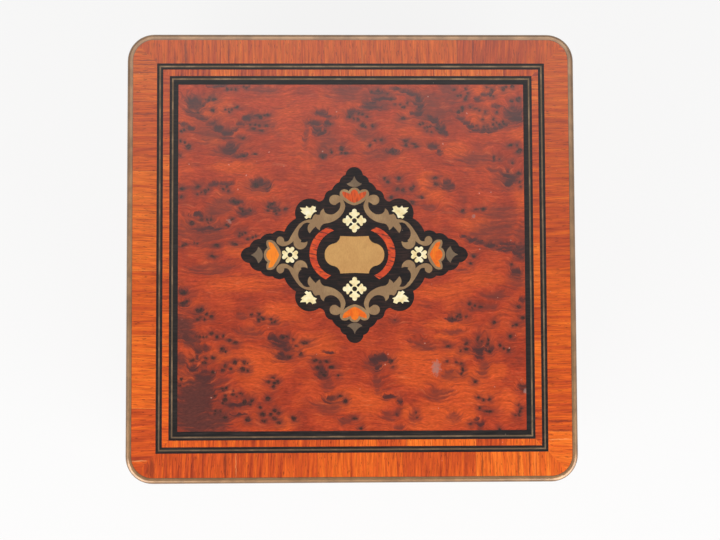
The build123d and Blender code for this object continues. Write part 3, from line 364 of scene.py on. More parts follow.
def burl_colour(paint, point, edge, smoke, haze, clear, dark=0.0):
    """Thuya burl: red ground, fibres that bend round the figure, smoky veils, clear patches and dark eyes.
    The edge is the distance from the rim of the nearest eye in millimetres; smoke, haze, clear and dark are
    1 in the middle of a patch and fall to 0 outside it."""
    x, y, _ = paint.parts(point)
    near = paint.fade(edge, 2.4, 0.0)
    rise = y
    for bend, height in ((paint.noise(point, 0.045), 6.0), (paint.noise(point, 0.17), 1.5), (near, 0.9),
                         (smoke, 2.2), (haze, 1.6)):
        rise = paint.math("MULTIPLY_ADD", bend, height, rise)
    fibre = paint.noise(paint.scaled(x, rise, 0.1, 1.1), 1.0, 4, 0.7)
    streak = paint.noise(paint.scaled(x, rise, 0.14, 0.85, 5.0), 1.0, 4, 0.65)
    grit = paint.noise(paint.scaled(x, rise, 0.7, 2.6, 9.0), 1.0, 2, 0.6)
    ground = paint.ramp(paint.noise(point, 0.075, 4, 0.6), *BURL_GROUND)
    ground = paint.blend(paint.math("MULTIPLY", clear, 0.75), ground, BURL_CLEAR)
    ground = paint.shade(paint.fade(fibre, 0.25, 0.75, 0.76, 1.22), ground)
    ground = paint.shade(paint.fade(grit, 0.25, 0.75, 0.76, 1.2), ground)
    ground = paint.blend(paint.fade(streak, 0.52, 0.7, 0.0, 0.4), ground, BURL_DARK_STREAK)
    ground = paint.blend(paint.fade(streak, 0.42, 0.3, 0.0, 0.2), ground, BURL_PALE_STREAK)
    ragged = paint.math("SUBTRACT", streak, 0.5)
    dusk = paint.math("MULTIPLY_ADD", ragged, 1.6, paint.math("MULTIPLY", haze, 0.7))
    dusk = paint.fade(dusk, 0.1, 0.9, 0.0, 0.8)
    cloud = paint.fade(paint.noise(paint.scaled(x, rise, 0.5, 1.0), 0.3, 4, 0.65), 0.48, 0.76, 0.0, 0.5)
    cloud = paint.math("MULTIPLY", cloud, paint.fade(clear, 0.6, 0.0, 0.2, 1.0))
    halo = paint.math("MULTIPLY", near, paint.fade(streak, 0.35, 0.62, 0.3, 0.8))
    dusk = paint.math("MAXIMUM", paint.math("MAXIMUM", dusk, cloud), halo)
    ground = paint.blend(dusk, ground, BURL_DUSK)
    veil = paint.math("MULTIPLY_ADD", ragged, 1.5, paint.math("MULTIPLY", smoke, 0.9))
    ground = paint.blend(paint.fade(veil, 0.15, 1.0, 0.0, 0.9), ground, BURL_VEIL)
    gloom = paint.math("MULTIPLY_ADD", ragged, 1.5, dark)
    maroon = paint.blend(paint.fade(grit, 0.25, 0.75), *BURL_MAROON)
    ground = paint.blend(paint.fade(gloom, 0.1, 1.1, 0.0, 0.9), ground, maroon)
    ground = paint.blend(paint.fade(edge, 0.46, -0.1, 0.0, 0.62), ground, BURL_RIM)
    core = paint.fade(paint.noise(point, 1.3), 0.35, 0.58, 0.45, 1.0)
    core = paint.math("MULTIPLY", paint.fade(edge, 0.02, -0.28, 0.0, 0.88), core)
    return paint.blend(core, ground, BURL_EYE), fibre


DUST = rgb(226, 196, 176)


def dusted(paint, point, colour):
    """Sparse pale specks of dust in the polish."""
    distance, random = paint.cells(point, 0.34)
    lot = paint.parts(random)[1]
    size = paint.fade(lot, 0.55, 1.0, 0.0, 0.055)
    speck = paint.fade(distance, size, paint.math("MULTIPLY", size, 0.5))
    return paint.blend(paint.math("MULTIPLY", speck, 0.4), colour, DUST)


POLISH = {"Coat_Weight": 0.15, "Coat_Roughness": 0.1, "IOR": 1.45}
SIDE_POLISH = {"IOR": 1.45, "Specular_IOR_Level": 0.2}
LID_ROUGHNESS = 0.24
SIDE_ROUGHNESS = 0.42
INLAY_ROUGHNESS = 0.36
VENEER_RELIEF = 0.01
INLAY_RELIEF = 0.02
FLAT = (1, 1, 0)
OVAL_RADIUS = 0.6
WORN_WOOD = rgb(146, 112, 102)
FLECK = rgb(232, 200, 178)


def lid_burl():
    """Burl of the lid, with the photographed figure, worn spots and flecks of dust."""
    paint = Paint("burl_lid")
    place = paint.vector("MULTIPLY", paint.place, FLAT)
    shift = paint.wander(place, 0.8)
    spot = paint.vector("MULTIPLY_ADD", shift, (1.2, 1.1, 0), place)
    edge = paint.math("MULTIPLY", paint.math("SUBTRACT", paint.nearest(spot, OVALS), 1.0), OVAL_RADIUS)
    for radius, places in EYES.items():
        edge = paint.math("MINIMUM", edge, paint.math("SUBTRACT", paint.closest(spot, places), radius))
    cloud = paint.vector("MULTIPLY_ADD", paint.wander(place, 0.22, 3, 0.6), (4.5, 3.5, 0), place)
    cloud = paint.vector("MULTIPLY_ADD", shift, (1.4, 0.8, 0), cloud)
    smoke = paint.fade(paint.nearest(cloud, SMOKE), 2.0, 0.25)
    haze = paint.fade(paint.nearest(cloud, HAZE), 1.6, 0.3)
    clear = paint.fade(paint.nearest(cloud, CLEAR), 1.4, 0.4)
    dark = paint.fade(paint.nearest(cloud, DARK), 1.75, 0.15)
    colour, fibre = burl_colour(paint, place, edge, smoke, haze, clear, dark)
    grain = paint.noise(place, 1.4, 3, 0.65)
    rub = paint.math("MULTIPLY_ADD", paint.math("SUBTRACT", grain, 0.5), 2.2, paint.nearest(spot, WORN))
    worn = paint.fade(rub, 1.25, 0.45)
    wear = paint.math("MULTIPLY", worn, paint.fade(grain, 0.3, 0.7, 0.75, 0.5))
    colour = paint.blend(wear, colour, WORN_WOOD)
    fleck = paint.fade(paint.closest(spot, FLECKS), 0.28, 0.08, 0.0, 0.38)
    colour = paint.blend(fleck, colour, FLECK)
    colour = dusted(paint, place, colour)
    roughness = paint.math("MULTIPLY_ADD", worn, 0.25, LID_ROUGHNESS)
    return paint.finish(colour, roughness, paint.bump(fibre, VENEER_RELIEF), **POLISH)


FACE_SHIFT_X = 310.0
FACE_SHIFT_Y = 730.0
KNOT_SPACING = 11.0
SWIRL_SPACING = 13.0
CLEAR_SPACING = 24.0
CLEAR_SHIFT = (57, 31, 0)
# Painted shade: the burl of the faces is darkened by this factor, because the low front lamps light the faces
# strongly.
SIDE_BURL_PAINTED_SHADE = 0.85


def wall_point(paint):
    """Coordinates along and up the four faces, different on each face."""
    x, y, z = paint.parts(paint.place)
    turn_x, turn_y, _ = paint.parts(paint.facing)
    run = paint.math("ADD", x, y)
    run = paint.math("MULTIPLY_ADD", turn_x, FACE_SHIFT_X, run)
    run = paint.math("MULTIPLY_ADD", turn_y, FACE_SHIFT_Y, run)
    return run, z


def side_burl():
    """Burl of the faces, with knots and eyes scattered by chance."""
    paint = Paint("burl_sides")
    run, rise = wall_point(paint)
    place = paint.join(run, rise)
    point = paint.vector("MULTIPLY_ADD", paint.wander(place, 0.11), (7, 6, 0), place)
    knot, random = paint.cells(point, 1 / KNOT_SPACING)
    lot = paint.parts(random)[0]
    group = paint.math("MULTIPLY_ADD", knot, KNOT_SPACING, paint.math("MULTIPLY", lot, 2.5))
    spot, dice = paint.cells(paint.vector("MULTIPLY", point, (1, 1.2, 1)), 0.6)
    size = paint.fade(paint.parts(dice)[0], 0.15, 0.8, 0.3, 0.85)
    radius = paint.math("MULTIPLY", size, paint.fade(group, 6.5, 5.5))
    edge = paint.math("MULTIPLY_ADD", spot, 1.65, paint.math("SUBTRACT", 0.05, radius))
    swirl, _ = paint.cells(paint.vector("MULTIPLY", point, (0.5, 1, 1)), 1 / SWIRL_SPACING)
    patch, _ = paint.cells(paint.vector("ADD", point, CLEAR_SHIFT), 1 / CLEAR_SPACING)
    colour, fibre = burl_colour(paint, place, edge, paint.fade(swirl, 0.4, 0.14),
                                paint.fade(group, 9.0, 4.0), paint.fade(patch, 0.5, 0.2))
    # Painted shade: the burl colour is darkened for the brightly lit faces.
    colour = dusted(paint, place, paint.shade(SIDE_BURL_PAINTED_SHADE, colour))
    return paint.finish(colour, SIDE_ROUGHNESS, paint.bump(fibre, VENEER_RELIEF), **SIDE_POLISH)


BAND_GROUND = [
    (0.26, rgb(154, 57, 30)), (0.4, rgb(190, 75, 30)), (0.54, rgb(210, 92, 30)), (0.74, rgb(230, 116, 38)),
]
BAND_VEIN = rgb(128, 44, 26)
BAND_PORE = rgb(76, 32, 24)
BAND_JOINTS = [rgb(96, 40, 26), rgb(250, 160, 84)]
BAND_STREAK = rgb(98, 40, 28)
BAND_SEAM = rgb(250, 176, 112)
PIECE_SHIFT = 41.7
UPRIGHT_SHIFT = 377.0
FAR_SHIFT = 811.0
SIDE_PIECE = 23.0
# Painted shade: the banding of the faces is darkened by this factor, because the low front lamps light the
# faces strongly.
SIDE_BAND_PAINTED_SHADE = 0.8


def crossband_colour(paint, along, across, length, bright):
    """Tulipwood laid in lengths, with its grain across the band."""
    lap = paint.math("DIVIDE", paint.math("MULTIPLY_ADD", across, 0.02, along), length)
    uneven = paint.noise(paint.join(paint.math("MULTIPLY", along, 0.6 / length), 0), 1.0, 0)
    lap = paint.math("ADD", lap, uneven)
    number = paint.math("FLOOR", lap)
    lot = paint.math("SUBTRACT", paint.chance(number), 0.5)
    run = paint.math("MULTIPLY_ADD", across, paint.math("MULTIPLY", lot, 0.12), along)
    run = paint.math("MULTIPLY_ADD", number, PIECE_SHIFT, run)
    stripe = paint.noise(paint.scaled(run, across, 0.6, 0.03), 1.0, 5, 0.66)
    stripe = paint.math("MULTIPLY_ADD", lot, 0.26, stripe)
    colour = paint.ramp(stripe, *BAND_GROUND)
    fibre = paint.noise(paint.scaled(run, across, 2.3, 0.16), 1.0, 3, 0.6)
    # bright scales the colour; on the faces it is lowered as painted shade for the strongly lit faces.
    colour = paint.shade(paint.fade(fibre, 0.25, 0.75, 0.74 * bright, 1.2 * bright), colour)
    vein = paint.noise(paint.scaled(run, across, 1.3, 0.07, 3.0))
    colour = paint.blend(paint.fade(vein, 0.57, 0.66, 0.0, 0.42), colour, BAND_VEIN)
    pore = paint.noise(paint.scaled(run, across, 2.8, 0.4, 7.0))
    colour = paint.blend(paint.fade(pore, 0.62, 0.7, 0.0, 0.7), colour, BAND_PORE)
    joint = paint.math("ABSOLUTE", paint.math("SUBTRACT", paint.math("FRACT", lap), 0.5))
    joint = paint.fade(joint, 0.5 - 0.16 / length, 0.5 - 0.05 / length)
    line = paint.blend(paint.math("GREATER_THAN", lot, 0.1), *BAND_JOINTS)
    return paint.blend(paint.math("MULTIPLY", joint, 0.35), colour, line), fibre


def lid_band(name, length, bright, marked=False):
    """Cross-banding of the lid: four mitred strips, each with the grain towards the middle. Painted shade
    makes it lighter at the front and darker towards the hinges, for the light falling off from the front
    lamps, and the outer strips have the dark streaks and open seams of old veneer."""
    paint = Paint(name)
    x, y, _ = paint.parts(paint.place)
    upright = paint.math("GREATER_THAN", paint.math("ABSOLUTE", x), paint.math("ABSOLUTE", y))
    swapped = paint.vector("SCALE", paint.join(y, x), Scale=upright)
    kept = paint.vector("SCALE", paint.join(x, y), Scale=paint.math("SUBTRACT", 1.0, upright))
    along, across, _ = paint.parts(paint.vector("ADD", swapped, kept))
    along = paint.math("MULTIPLY_ADD", upright, UPRIGHT_SHIFT, along)
    along = paint.math("MULTIPLY_ADD", paint.math("GREATER_THAN", across, 0.0), FAR_SHIFT, along)
    colour, fibre = crossband_colour(paint, along, across, length, bright)
    # Painted shade: lighter at the front and darker towards the hinges, for the falloff of the front lamps.
    colour = paint.shade(paint.fade(y, -72.0, 72.0, 1.06, 0.86), colour)
    if marked:
        place = paint.vector("MULTIPLY", paint.place, FLAT)
        place = paint.vector("MULTIPLY_ADD", paint.wander(place, 0.5), (0.8, 0.8, 0), place)
        streak = paint.fade(paint.nearest(place, STREAKS), 1.2, 0.5, 0.0, 0.6)
        seam = paint.fade(paint.nearest(place, SEAMS), 1.1, 0.6, 0.0, 0.4)
        colour = paint.blend(seam, paint.blend(streak, colour, BAND_STREAK), BAND_SEAM)
    colour = dusted(paint, paint.place, colour)
    return paint.finish(colour, LID_ROUGHNESS, paint.bump(fibre, VENEER_RELIEF), **POLISH)


def side_band():
    """Cross-banding of the faces and corners, with upright grain."""
    paint = Paint("band_sides")
    run, rise = wall_point(paint)
    # Painted shade: the banding colour is darkened for the brightly lit faces.
    colour, fibre = crossband_colour(paint, run, rise, SIDE_PIECE, SIDE_BAND_PAINTED_SHADE)
    return paint.finish(colour, SIDE_ROUGHNESS, paint.bump(fibre, VENEER_RELIEF), **SIDE_POLISH)


EBONY_SCUFF = rgb(92, 66, 52)


def ebony(name, dark, light, scale, wear=0.0, shine=0.4):
    """Black wood with faint brown fibres, scuffed brown where wear is more than 0."""
    paint = Paint(name)
    grain = paint.vector("MULTIPLY", paint.place, (0.12 * scale, 1.6 * scale, 1.6 * scale))
    fibre = paint.noise(grain, 1.0, 4, 0.6)
    patch = paint.noise(paint.place, 0.22, 3)
    figure = paint.math("MULTIPLY", paint.fade(fibre, 0.35, 0.8), paint.fade(patch, 0.3, 0.65, 0.3, 1.0))
    colour = paint.blend(figure, dark, light)
    scuff = paint.fade(paint.noise(paint.place, 0.5, 4, 0.65), 0.58, 0.8, 0.0, wear)
    colour = paint.blend(scuff, colour, EBONY_SCUFF)
    colour = dusted(paint, paint.place, colour)
    roughness = paint.math("MULTIPLY_ADD", fibre, 0.16, 0.26)
    return paint.finish(colour, roughness, paint.bump(fibre, 0.02), Specular_IOR_Level=shine)


def brass(name, clean, tarnish, share, roughness):
    """Old brass: warm metal under patches of brown tarnish, with fine scratches."""
    paint = Paint(name)
    patch = paint.noise(paint.place, 0.16, 5, 0.62)
    colour = paint.blend(paint.fade(patch, 0.75 - share, 1.0 - share), clean, tarnish)
    scratch = paint.noise(paint.vector("MULTIPLY", paint.place, (9, 1.2, 1.2)), 1.0, 2)
    colour = paint.shade(paint.fade(scratch, 0.3, 0.7, 0.9, 1.06), colour)
    rough = paint.math("MULTIPLY_ADD", patch, 0.22, roughness - 0.1)
    return paint.finish(colour, rough, paint.bump(scratch, 0.006), Metallic=1.0)


EDGE_HALF = 75.0
EDGE_CORNER = 9.0
EDGE_SEAM = 2.05
EDGE_BRASS = [rgb(144, 111, 80), rgb(122, 93, 67)]
EDGE_SEAM_PAINTED_SHADE = rgb(58, 40, 32)


def brass_edge():
    """Rounded brass edge of the lid, with painted shade in the seam along the banding."""
    paint = Paint("brass_edge")
    flat = paint.vector("MULTIPLY", paint.vector("ABSOLUTE", paint.place), FLAT)
    corner = paint.vector("SUBTRACT", flat, (EDGE_HALF - EDGE_CORNER, EDGE_HALF - EDGE_CORNER, 0))
    x, y, _ = paint.parts(corner)
    round_part = paint.vector("LENGTH", paint.vector("MAXIMUM", corner, (0, 0, 0)))
    straight = paint.math("MINIMUM", paint.math("MAXIMUM", x, y), 0.0)
    depth = paint.math("SUBTRACT", EDGE_CORNER, paint.math("ADD", round_part, straight))
    patch = paint.noise(paint.place, 0.2, 4, 0.6)
    colour = paint.blend(paint.fade(patch, 0.35, 0.65), *EDGE_BRASS)
    scratch = paint.noise(paint.vector("MULTIPLY", paint.place, (7, 7, 1.5)), 1.0, 2)
    colour = paint.shade(paint.fade(scratch, 0.3, 0.7, 0.88, 1.06), colour)
    # Painted shade: the inner edge of the bead is darkened where it meets the banding, for the shadow in that
    # crease.
    seam = paint.fade(depth, EDGE_SEAM - 0.3, EDGE_SEAM, 0.0, 0.7)
    colour = paint.blend(seam, colour, EDGE_SEAM_PAINTED_SHADE)
    roughness = paint.math("MULTIPLY_ADD", patch, 0.16, 0.38)
    return paint.finish(colour, roughness, paint.bump(scratch, 0.004), Metallic=1.0, Coat_Weight=0.8,
                        Coat_Roughness=0.1)


BONE_GROUND = [(0.3, rgb(226, 200, 138)), (0.5, rgb(240, 224, 174)), (0.7, rgb(246, 238, 206))]
BONE_PORE = rgb(196, 160, 104)
PALMETTE_GROUND = [rgb(220, 94, 20), rgb(232, 116, 24)]
PALMETTE_LEFT = rgb(242, 138, 34)
PALMETTE_TOP = rgb(196, 66, 26)
PALMETTE_LINE = rgb(110, 36, 20)
CRESCENT_GROUND = [rgb(184, 56, 28), rgb(212, 82, 34)]
CRESCENT_LINE = rgb(74, 28, 22)
CARTOUCHE_PLACE = (0.9, 0.6, 0)


def bone():
    """Polished bone, cream with darker pores."""
    paint = Paint("bone")
    patch = paint.noise(paint.place, 0.5, 3)
    colour = paint.ramp(patch, *BONE_GROUND)
    pore = paint.noise(paint.vector("MULTIPLY", paint.place, (5, 1.4, 1)), 1.0, 3)
    colour = paint.blend(paint.fade(pore, 0.62, 0.78, 0.0, 0.4), colour, BONE_PORE)
    return paint.finish(colour, INLAY_ROUGHNESS, paint.bump(pore, INLAY_RELIEF), **POLISH)


def palmette_wood():
    """Orange wood of the palmettes: brighter on the left, dark red with upright lines at the top."""
    paint = Paint("inlay_palmettes")
    x, y, _ = paint.parts(paint.place)
    patch = paint.noise(paint.place, 0.6, 2)
    colour = paint.blend(paint.fade(patch, 0.35, 0.65), *PALMETTE_GROUND)
    colour = paint.blend(paint.fade(x, -18.0, -22.0, 0.0, 0.7), colour, PALMETTE_LEFT)
    high = paint.fade(y, 13.0, 16.0)
    colour = paint.blend(paint.math("MULTIPLY", high, 0.75), colour, PALMETTE_TOP)
    line = paint.fade(paint.noise(paint.scaled(x, y, 2.6, 0.3)), 0.5, 0.64)
    line = paint.math("MULTIPLY", line, paint.fade(high, 0.0, 1.0, 0.12, 0.6))
    colour = paint.blend(line, colour, PALMETTE_LINE)
    return paint.finish(colour, INLAY_ROUGHNESS, paint.bump(patch, INLAY_RELIEF), **POLISH)


def crescent_wood():
    """Red wood of the crescents, with short dark lines across them."""
    paint = Paint("inlay_crescents")
    x, y, _ = paint.parts(paint.vector("SUBTRACT", paint.place, CARTOUCHE_PLACE))
    patch = paint.noise(paint.place, 0.45, 3)
    colour = paint.blend(paint.fade(patch, 0.3, 0.7), *CRESCENT_GROUND)
    slope = paint.math("MULTIPLY_ADD", x, 0.25, y)
    line = paint.noise(paint.scaled(slope, x, 1.6, 0.25), 1.0, 2, 0.6)
    colour = paint.blend(paint.fade(line, 0.52, 0.62, 0.0, 0.85), colour, CRESCENT_LINE)
    return paint.finish(colour, INLAY_ROUGHNESS, paint.bump(patch, INLAY_RELIEF), **POLISH)


OAK_RINGS = [(0.32, rgb(112, 68, 38)), (0.5, rgb(146, 94, 54)), (0.68, rgb(168, 112, 66))]
VELVET_PILE = [(0.3, rgb(86, 9, 20)), (0.55, rgb(102, 12, 25)), (0.75, rgb(116, 16, 31))]
VELVET_SHEEN = {"Sheen_Weight": 0.35, "Sheen_Roughness": 0.35, "Sheen_Tint": (0.75, 0.12, 0.18, 1)}


def plain_wood(name, stretch):
    """Carcass wood with its grain along the axis that has the least share in stretch."""
    paint = Paint(name)
    grain = paint.vector("MULTIPLY", paint.place, stretch)
    ring = paint.noise(grain, 0.4, 3, 0.5)
    fibre = paint.noise(grain, 2.6, 4, 0.6)
    colour = paint.ramp(ring, *OAK_RINGS)
    colour = paint.shade(paint.fade(fibre, 0.25, 0.75, 0.78, 1.12), colour)
    return paint.finish(colour, 0.62, paint.bump(fibre, 0.05))


def velvet():
    """Red velvet with a brushed nap."""
    paint = Paint("velvet")
    nap = paint.noise(paint.place, 5.0, 3, 0.7)
    brushed = paint.noise(paint.place, 0.07, 3)
    colour = paint.ramp(brushed, *VELVET_PILE)
    colour = paint.shade(paint.fade(nap, 0.2, 0.8, 0.7, 1.2), colour)
    return paint.finish(colour, 0.95, paint.bump(nap, 0.18, 0.8), **VELVET_SHEEN)


MATERIALS = {
    lid_burl(): ["lid_burl_field"],
    side_burl(): ["case_burl_fields", "lid_face_burl_fields"],
    lid_band("band_outer", length=26.0, bright=1.0, marked=True): ["lid_outer_banding"],
    lid_band("band_inner", length=11.0, bright=1.06): ["lid_inner_banding"],
    side_band(): ["case_banding", "lid_face_banding"],
    ebony("ebony_strings", rgb(20, 18, 18), rgb(48, 40, 37), 1.0, shine=0.25):
        ["lid_ebony_strings", "case_ebony_strings", "lid_face_ebony_strings"],
    ebony("ebony_ground", rgb(14, 12, 13), rgb(60, 40, 34), 1.6, shine=0.22): ["cartouche_ground"],
    ebony("ebony_plinth", rgb(22, 18, 18), rgb(48, 36, 32), 0.8, wear=0.35):
        ["plinth_strips", "plinth_corners", "feet", "lock_foot", "drawer_moulding"],
    brass("brass_strings", rgb(132, 109, 86), rgb(98, 82, 66), 0.45, 0.46):
        ["lid_brass_strings", "case_brass_strings", "lid_face_brass_strings"],
    brass_edge(): ["lid_brass_edge"],
    brass("brass_rim", rgb(178, 138, 98), rgb(150, 114, 82), 0.45, 0.42): ["lid_brass_rim", "case_brass_rim"],
    brass("brass_plaque", rgb(180, 139, 87), rgb(172, 131, 82), 0.4, 0.5): ["cartouche_plaque"],
    brass("brass_scrolls", rgb(148, 121, 89), rgb(132, 106, 79), 0.45, 0.5):
        ["cartouche_scrolls", "cartouche_palmette_rims"],
    brass("brass_finials", rgb(124, 105, 84), rgb(106, 90, 74), 0.5, 0.5): ["cartouche_finials"],
    brass("brass_hardware", rgb(200, 162, 100), rgb(154, 120, 76), 0.35, 0.34):
        ["hinge_case_leaves", "hinge_lid_leaves", "hinge_pins", "strike_plate", "lock_bushes", "lock_shaft",
         "lock_tee"],
    bone(): ["cartouche_flowers", "cartouche_leaves"],
    palmette_wood(): ["cartouche_palmettes"],
    crescent_wood(): ["cartouche_crescents"],
    plain_wood("oak_along_x", (0.06, 1, 1)):
        ["base_board", "compartment_floor", "front_wall", "back_wall", "drawer_runners", "lid_board",
         "lid_front_rail", "lid_back_rail", "drawer_sides"],
    plain_wood("oak_along_y", (1, 0.06, 1)):
        ["left_wall", "right_wall", "lid_side_rails", "drawer_front", "drawer_back"],
    plain_wood("oak_upright", (1, 1, 0.06)):
        ["lock_post", "corner_posts", "lid_lock_block", "lid_corner_blocks"],
    velvet(): ["floor_lining", "wall_linings", "lid_lining", "drawer_bottom"],
}
for material, names in MATERIALS.items():
    for name in names:
        nodes[name].data.materials.clear()
        nodes[name].data.materials.append(material)


# Slotted screws of the hinges and the strike plate, in millimetres

HEAD_RISE = 0.1
HEAD_SHOULDER = 0.05
HEAD_CROWN = 0.86
SLOT_SHARE = 0.16
SLOT_FLOOR = 0.012
ARC_STEPS = 16
SLOT_TURN = 0.4
SLOT_TURN_STEP = 1.1
HINGE_SCREW = 1.3
HINGE_MIDDLES = (-38, 38)
HINGE_SCREW_STEPS = (-8, 0, 8)
HINGE_SCREW_ROW = 70.1
HINGE_SCREWS = [(x + step, HINGE_SCREW_ROW) for x in HINGE_MIDDLES for step in HINGE_SCREW_STEPS]
STRIKE_SCREW = 0.9
LOCK_PLACE = (66, -66)
STRIKE_SCREW_REACH = 4.05
STRIKE_SCREWS = [(LOCK_PLACE[0] + side * STRIKE_SCREW_REACH, LOCK_PLACE[1]) for side in (-1, 1)]
CASE_LEAF_TOP = 74.0
LID_LEAF_BOTTOM = 74.3


def half_outline(radius, slot):
    """Outline of one half of a head, from one end of the slot round to the other."""
    start = asin(slot / radius)
    angles = [start + (pi - 2 * start) * i / ARC_STEPS for i in range(ARC_STEPS + 1)]
    return [(radius * cos(angle), radius * sin(angle)) for angle in angles]


def screw_head(radius):
    """Vertices and faces of a head on the XY plane, in two halves, with the floor of its slot as the last
    face."""
    slot = SLOT_SHARE * radius
    vertices, faces = [], []
    for side in (1, -1):
        rings = [(radius, 0.0), (radius, HEAD_SHOULDER), (HEAD_CROWN * radius, HEAD_RISE)]
        first = len(vertices)
        for ring, height in rings:
            vertices += [(side * x, side * y, height) for x, y in half_outline(ring, slot)]
        count = ARC_STEPS + 1
        for level in range(len(rings) - 1):
            for i in range(count):
                low = first + level * count
                after = (i + 1) % count
                faces.append((low + i, low + after, low + count + after, low + count + i))
        faces.append(tuple(first + 2 * count + i for i in range(count)))
    reach = (radius ** 2 - slot ** 2) ** 0.5
    corner = len(vertices)
    vertices += [(-reach, -slot, SLOT_FLOOR), (reach, -slot, SLOT_FLOOR),
                 (reach, slot, SLOT_FLOOR), (-reach, slot, SLOT_FLOOR)]
    faces.append((corner, corner + 1, corner + 2, corner + 3))
    return vertices, faces


def make_screws(name, body, places, height, radius, up, materials):
    """A row of screws with their slots at different angles, facing up or down."""
    head, outline = screw_head(radius)
    vertices, faces, paints = [], [], []
    for number, (x, y) in enumerate(places):
        turn = Matrix.Rotation(SLOT_TURN + SLOT_TURN_STEP * number, 3, "Z")
        flip = Matrix.Identity(3) if up else Matrix.Rotation(pi, 3, "X")
        first = len(vertices)
        for vertex in head:
            vertices.append((flip @ turn @ Vector(vertex) + Vector((x, y, height))) * MM)
        faces += [tuple(first + i for i in face) for face in outline]
        # The slot floor takes the second material, a dark painted shadow in the slot.
        paints += [0] * (len(outline) - 1) + [1]
    mesh = bpy.data.meshes.new(name)
    mesh.from_pydata(vertices, [], faces)
    for material in materials:
        mesh.materials.append(material)
    mesh.polygons.foreach_set("material_index", paints)
    piece = bpy.data.objects.new(name, mesh)
    bpy.context.scene.collection.objects.link(piece)
    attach(piece, body)


# The second material is painted shadow: it darkens the floor of each slot.
SCREW_METALS = [brass("brass_screws", rgb(196, 154, 88), rgb(132, 100, 60), 0.4, 0.32),
                ebony("slot_painted_shade", rgb(30, 24, 18), rgb(56, 44, 32), 1.0)]
make_screws("hinge_case_screws", "case", HINGE_SCREWS, CASE_LEAF_TOP, HINGE_SCREW, True, SCREW_METALS)
make_screws("hinge_lid_screws", "lid", HINGE_SCREWS, LID_LEAF_BOTTOM, HINGE_SCREW, False, SCREW_METALS)
make_screws("strike_screws", "lid", STRIKE_SCREWS, LID_LEAF_BOTTOM, STRIKE_SCREW, False, SCREW_METALS)


# Studio: pale floor, two soft key lights from the front, white surroundings. The camera and reflections see
# the floor as an even white, with a little of its shading. Of the surroundings, matt surfaces get the fill,
# from low to high, and polished ones a dark front, a bright back and grey sides. Ranges are components of
# the direction.

FLOOR_HALF = 4.0
FLOOR_WHITE = (0.93, 0.93, 0.925, 1)
FLOOR_GLOW = (0.955, 0.953, 0.95, 1)
FLOOR_GLOW_SHARE = 0.93
FLOOR_ROUGHNESS = 0.9
FILL_LOW = 0.7
FILL_HIGH = 0.06
FILL_RANGE = (0.0, 0.6)
GLOSS_FRONT = 0.1
GLOSS_BACK = 3.4
GLOSS_RANGE = (0.0, 0.36)
GLOSS_SIDE = 0.8
GLOSS_SIDE_RANGE = (0.6, 0.9)
SKY_SEEN = 0.95
KEY_POWER = 4.0
KEY_SIZE = 0.5
KEY_PLACES = [Vector((-0.35, -0.36, 0.37)), Vector((0.35, -0.36, 0.37))]
KEY_TARGET = Vector((0, 0, 0.1))

CAMERA_PLACE = Vector((-0.0063, -0.0280, 0.5356))
CAMERA_TURN = (3.105, -1.177, -0.232)
CAMERA_LENS = 65.18
CAMERA_CLIP = 0.01


def make_floor():
    mesh = bpy.data.meshes.new("floor")
    corners = [(-FLOOR_HALF, -FLOOR_HALF, 0), (FLOOR_HALF, -FLOOR_HALF, 0),
               (FLOOR_HALF, FLOOR_HALF, 0), (-FLOOR_HALF, FLOOR_HALF, 0)]
    mesh.from_pydata(corners, [], [(0, 1, 2, 3)])
    floor = bpy.data.objects.new("floor", mesh)
    bpy.context.scene.collection.objects.link(floor)
    paint = Paint("floor")
    tooth = paint.noise(paint.place, 0.8, 3)
    paint.finish(FLOOR_WHITE, FLOOR_ROUGHNESS, paint.bump(tooth, 0.02))
    tree = paint.tree
    white = tree.nodes.new("ShaderNodeEmission")
    white.inputs["Color"].default_value = FLOOR_GLOW
    mix = tree.nodes.new("ShaderNodeMixShader")
    path = tree.nodes.new("ShaderNodeLightPath")
    seen = paint.math("MAXIMUM", path.outputs["Is Camera Ray"], path.outputs["Is Glossy Ray"])
    seen = paint.math("MULTIPLY", seen, FLOOR_GLOW_SHARE)
    tree.links.new(seen, mix.inputs[0])
    tree.links.new(paint.shader.outputs[0], mix.inputs[1])
    tree.links.new(white.outputs[0], mix.inputs[2])
    tree.links.new(mix.outputs[0], tree.nodes["Material Output"].inputs["Surface"])
    mesh.materials.append(paint.material)


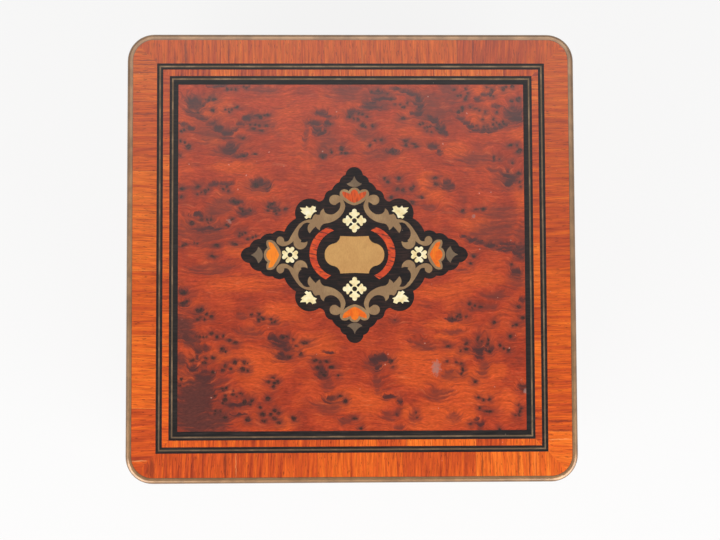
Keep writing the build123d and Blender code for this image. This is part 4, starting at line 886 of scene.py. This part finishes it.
def make_world():
    world = bpy.data.worlds.new("studio")
    bpy.context.scene.world = world
    world.use_nodes = True
    tree = world.node_tree
    background = tree.nodes["Background"]
    background.inputs["Color"].default_value = (1, 1, 1, 1)

    def put(socket, value):
        if isinstance(value, bpy.types.NodeSocket):
            tree.links.new(value, socket)
        else:
            socket.default_value = value

    def along(axis, reach, low, high, kind="SMOOTHSTEP"):
        """Goes from low to high along an axis of the direction."""
        node = tree.nodes.new("ShaderNodeMapRange")
        node.interpolation_type = kind
        for socket, value in zip(node.inputs, (toward.outputs[axis], *reach, low, high)):
            put(socket, value)
        return node.outputs[0]

    def mixed(factor, first, second):
        node = tree.nodes.new("ShaderNodeMix")
        for index, value in zip((0, 2, 3), (factor, first, second)):
            put(node.inputs[index], value)
        return node.outputs[0]

    toward = tree.nodes.new("ShaderNodeSeparateXYZ")
    tree.links.new(tree.nodes.new("ShaderNodeTexCoord").outputs["Generated"], toward.inputs[0])
    path = tree.nodes.new("ShaderNodeLightPath").outputs
    fill = along("Z", FILL_RANGE, FILL_LOW, FILL_HIGH, "LINEAR")
    gloss = along("Y", GLOSS_RANGE, GLOSS_FRONT, GLOSS_BACK)
    gloss = mixed(along("Z", GLOSS_SIDE_RANGE, 0.0, 1.0), GLOSS_SIDE, gloss)
    light = mixed(path["Is Glossy Ray"], fill, gloss)
    put(background.inputs["Strength"], mixed(path["Is Camera Ray"], light, SKY_SEEN))


def make_keys():
    for place in KEY_PLACES:
        light = bpy.data.lights.new("key", "AREA")
        light.energy = KEY_POWER
        light.size = KEY_SIZE
        key = bpy.data.objects.new("key", light)
        key.location = place
        key.rotation_euler = (KEY_TARGET - place).to_track_quat("-Z", "Y").to_euler()
        bpy.context.scene.collection.objects.link(key)


def make_camera():
    lens = bpy.data.cameras.new("camera")
    lens.lens = CAMERA_LENS
    lens.clip_start = CAMERA_CLIP
    camera = bpy.data.objects.new("camera", lens)
    camera.location = CAMERA_PLACE
    camera.rotation_euler = [radians(angle) for angle in CAMERA_TURN]
    bpy.context.scene.collection.objects.link(camera)
    bpy.context.scene.camera = camera


make_floor()
make_world()
make_keys()
make_camera()
bpy.context.scene.view_settings.view_transform = "Standard"
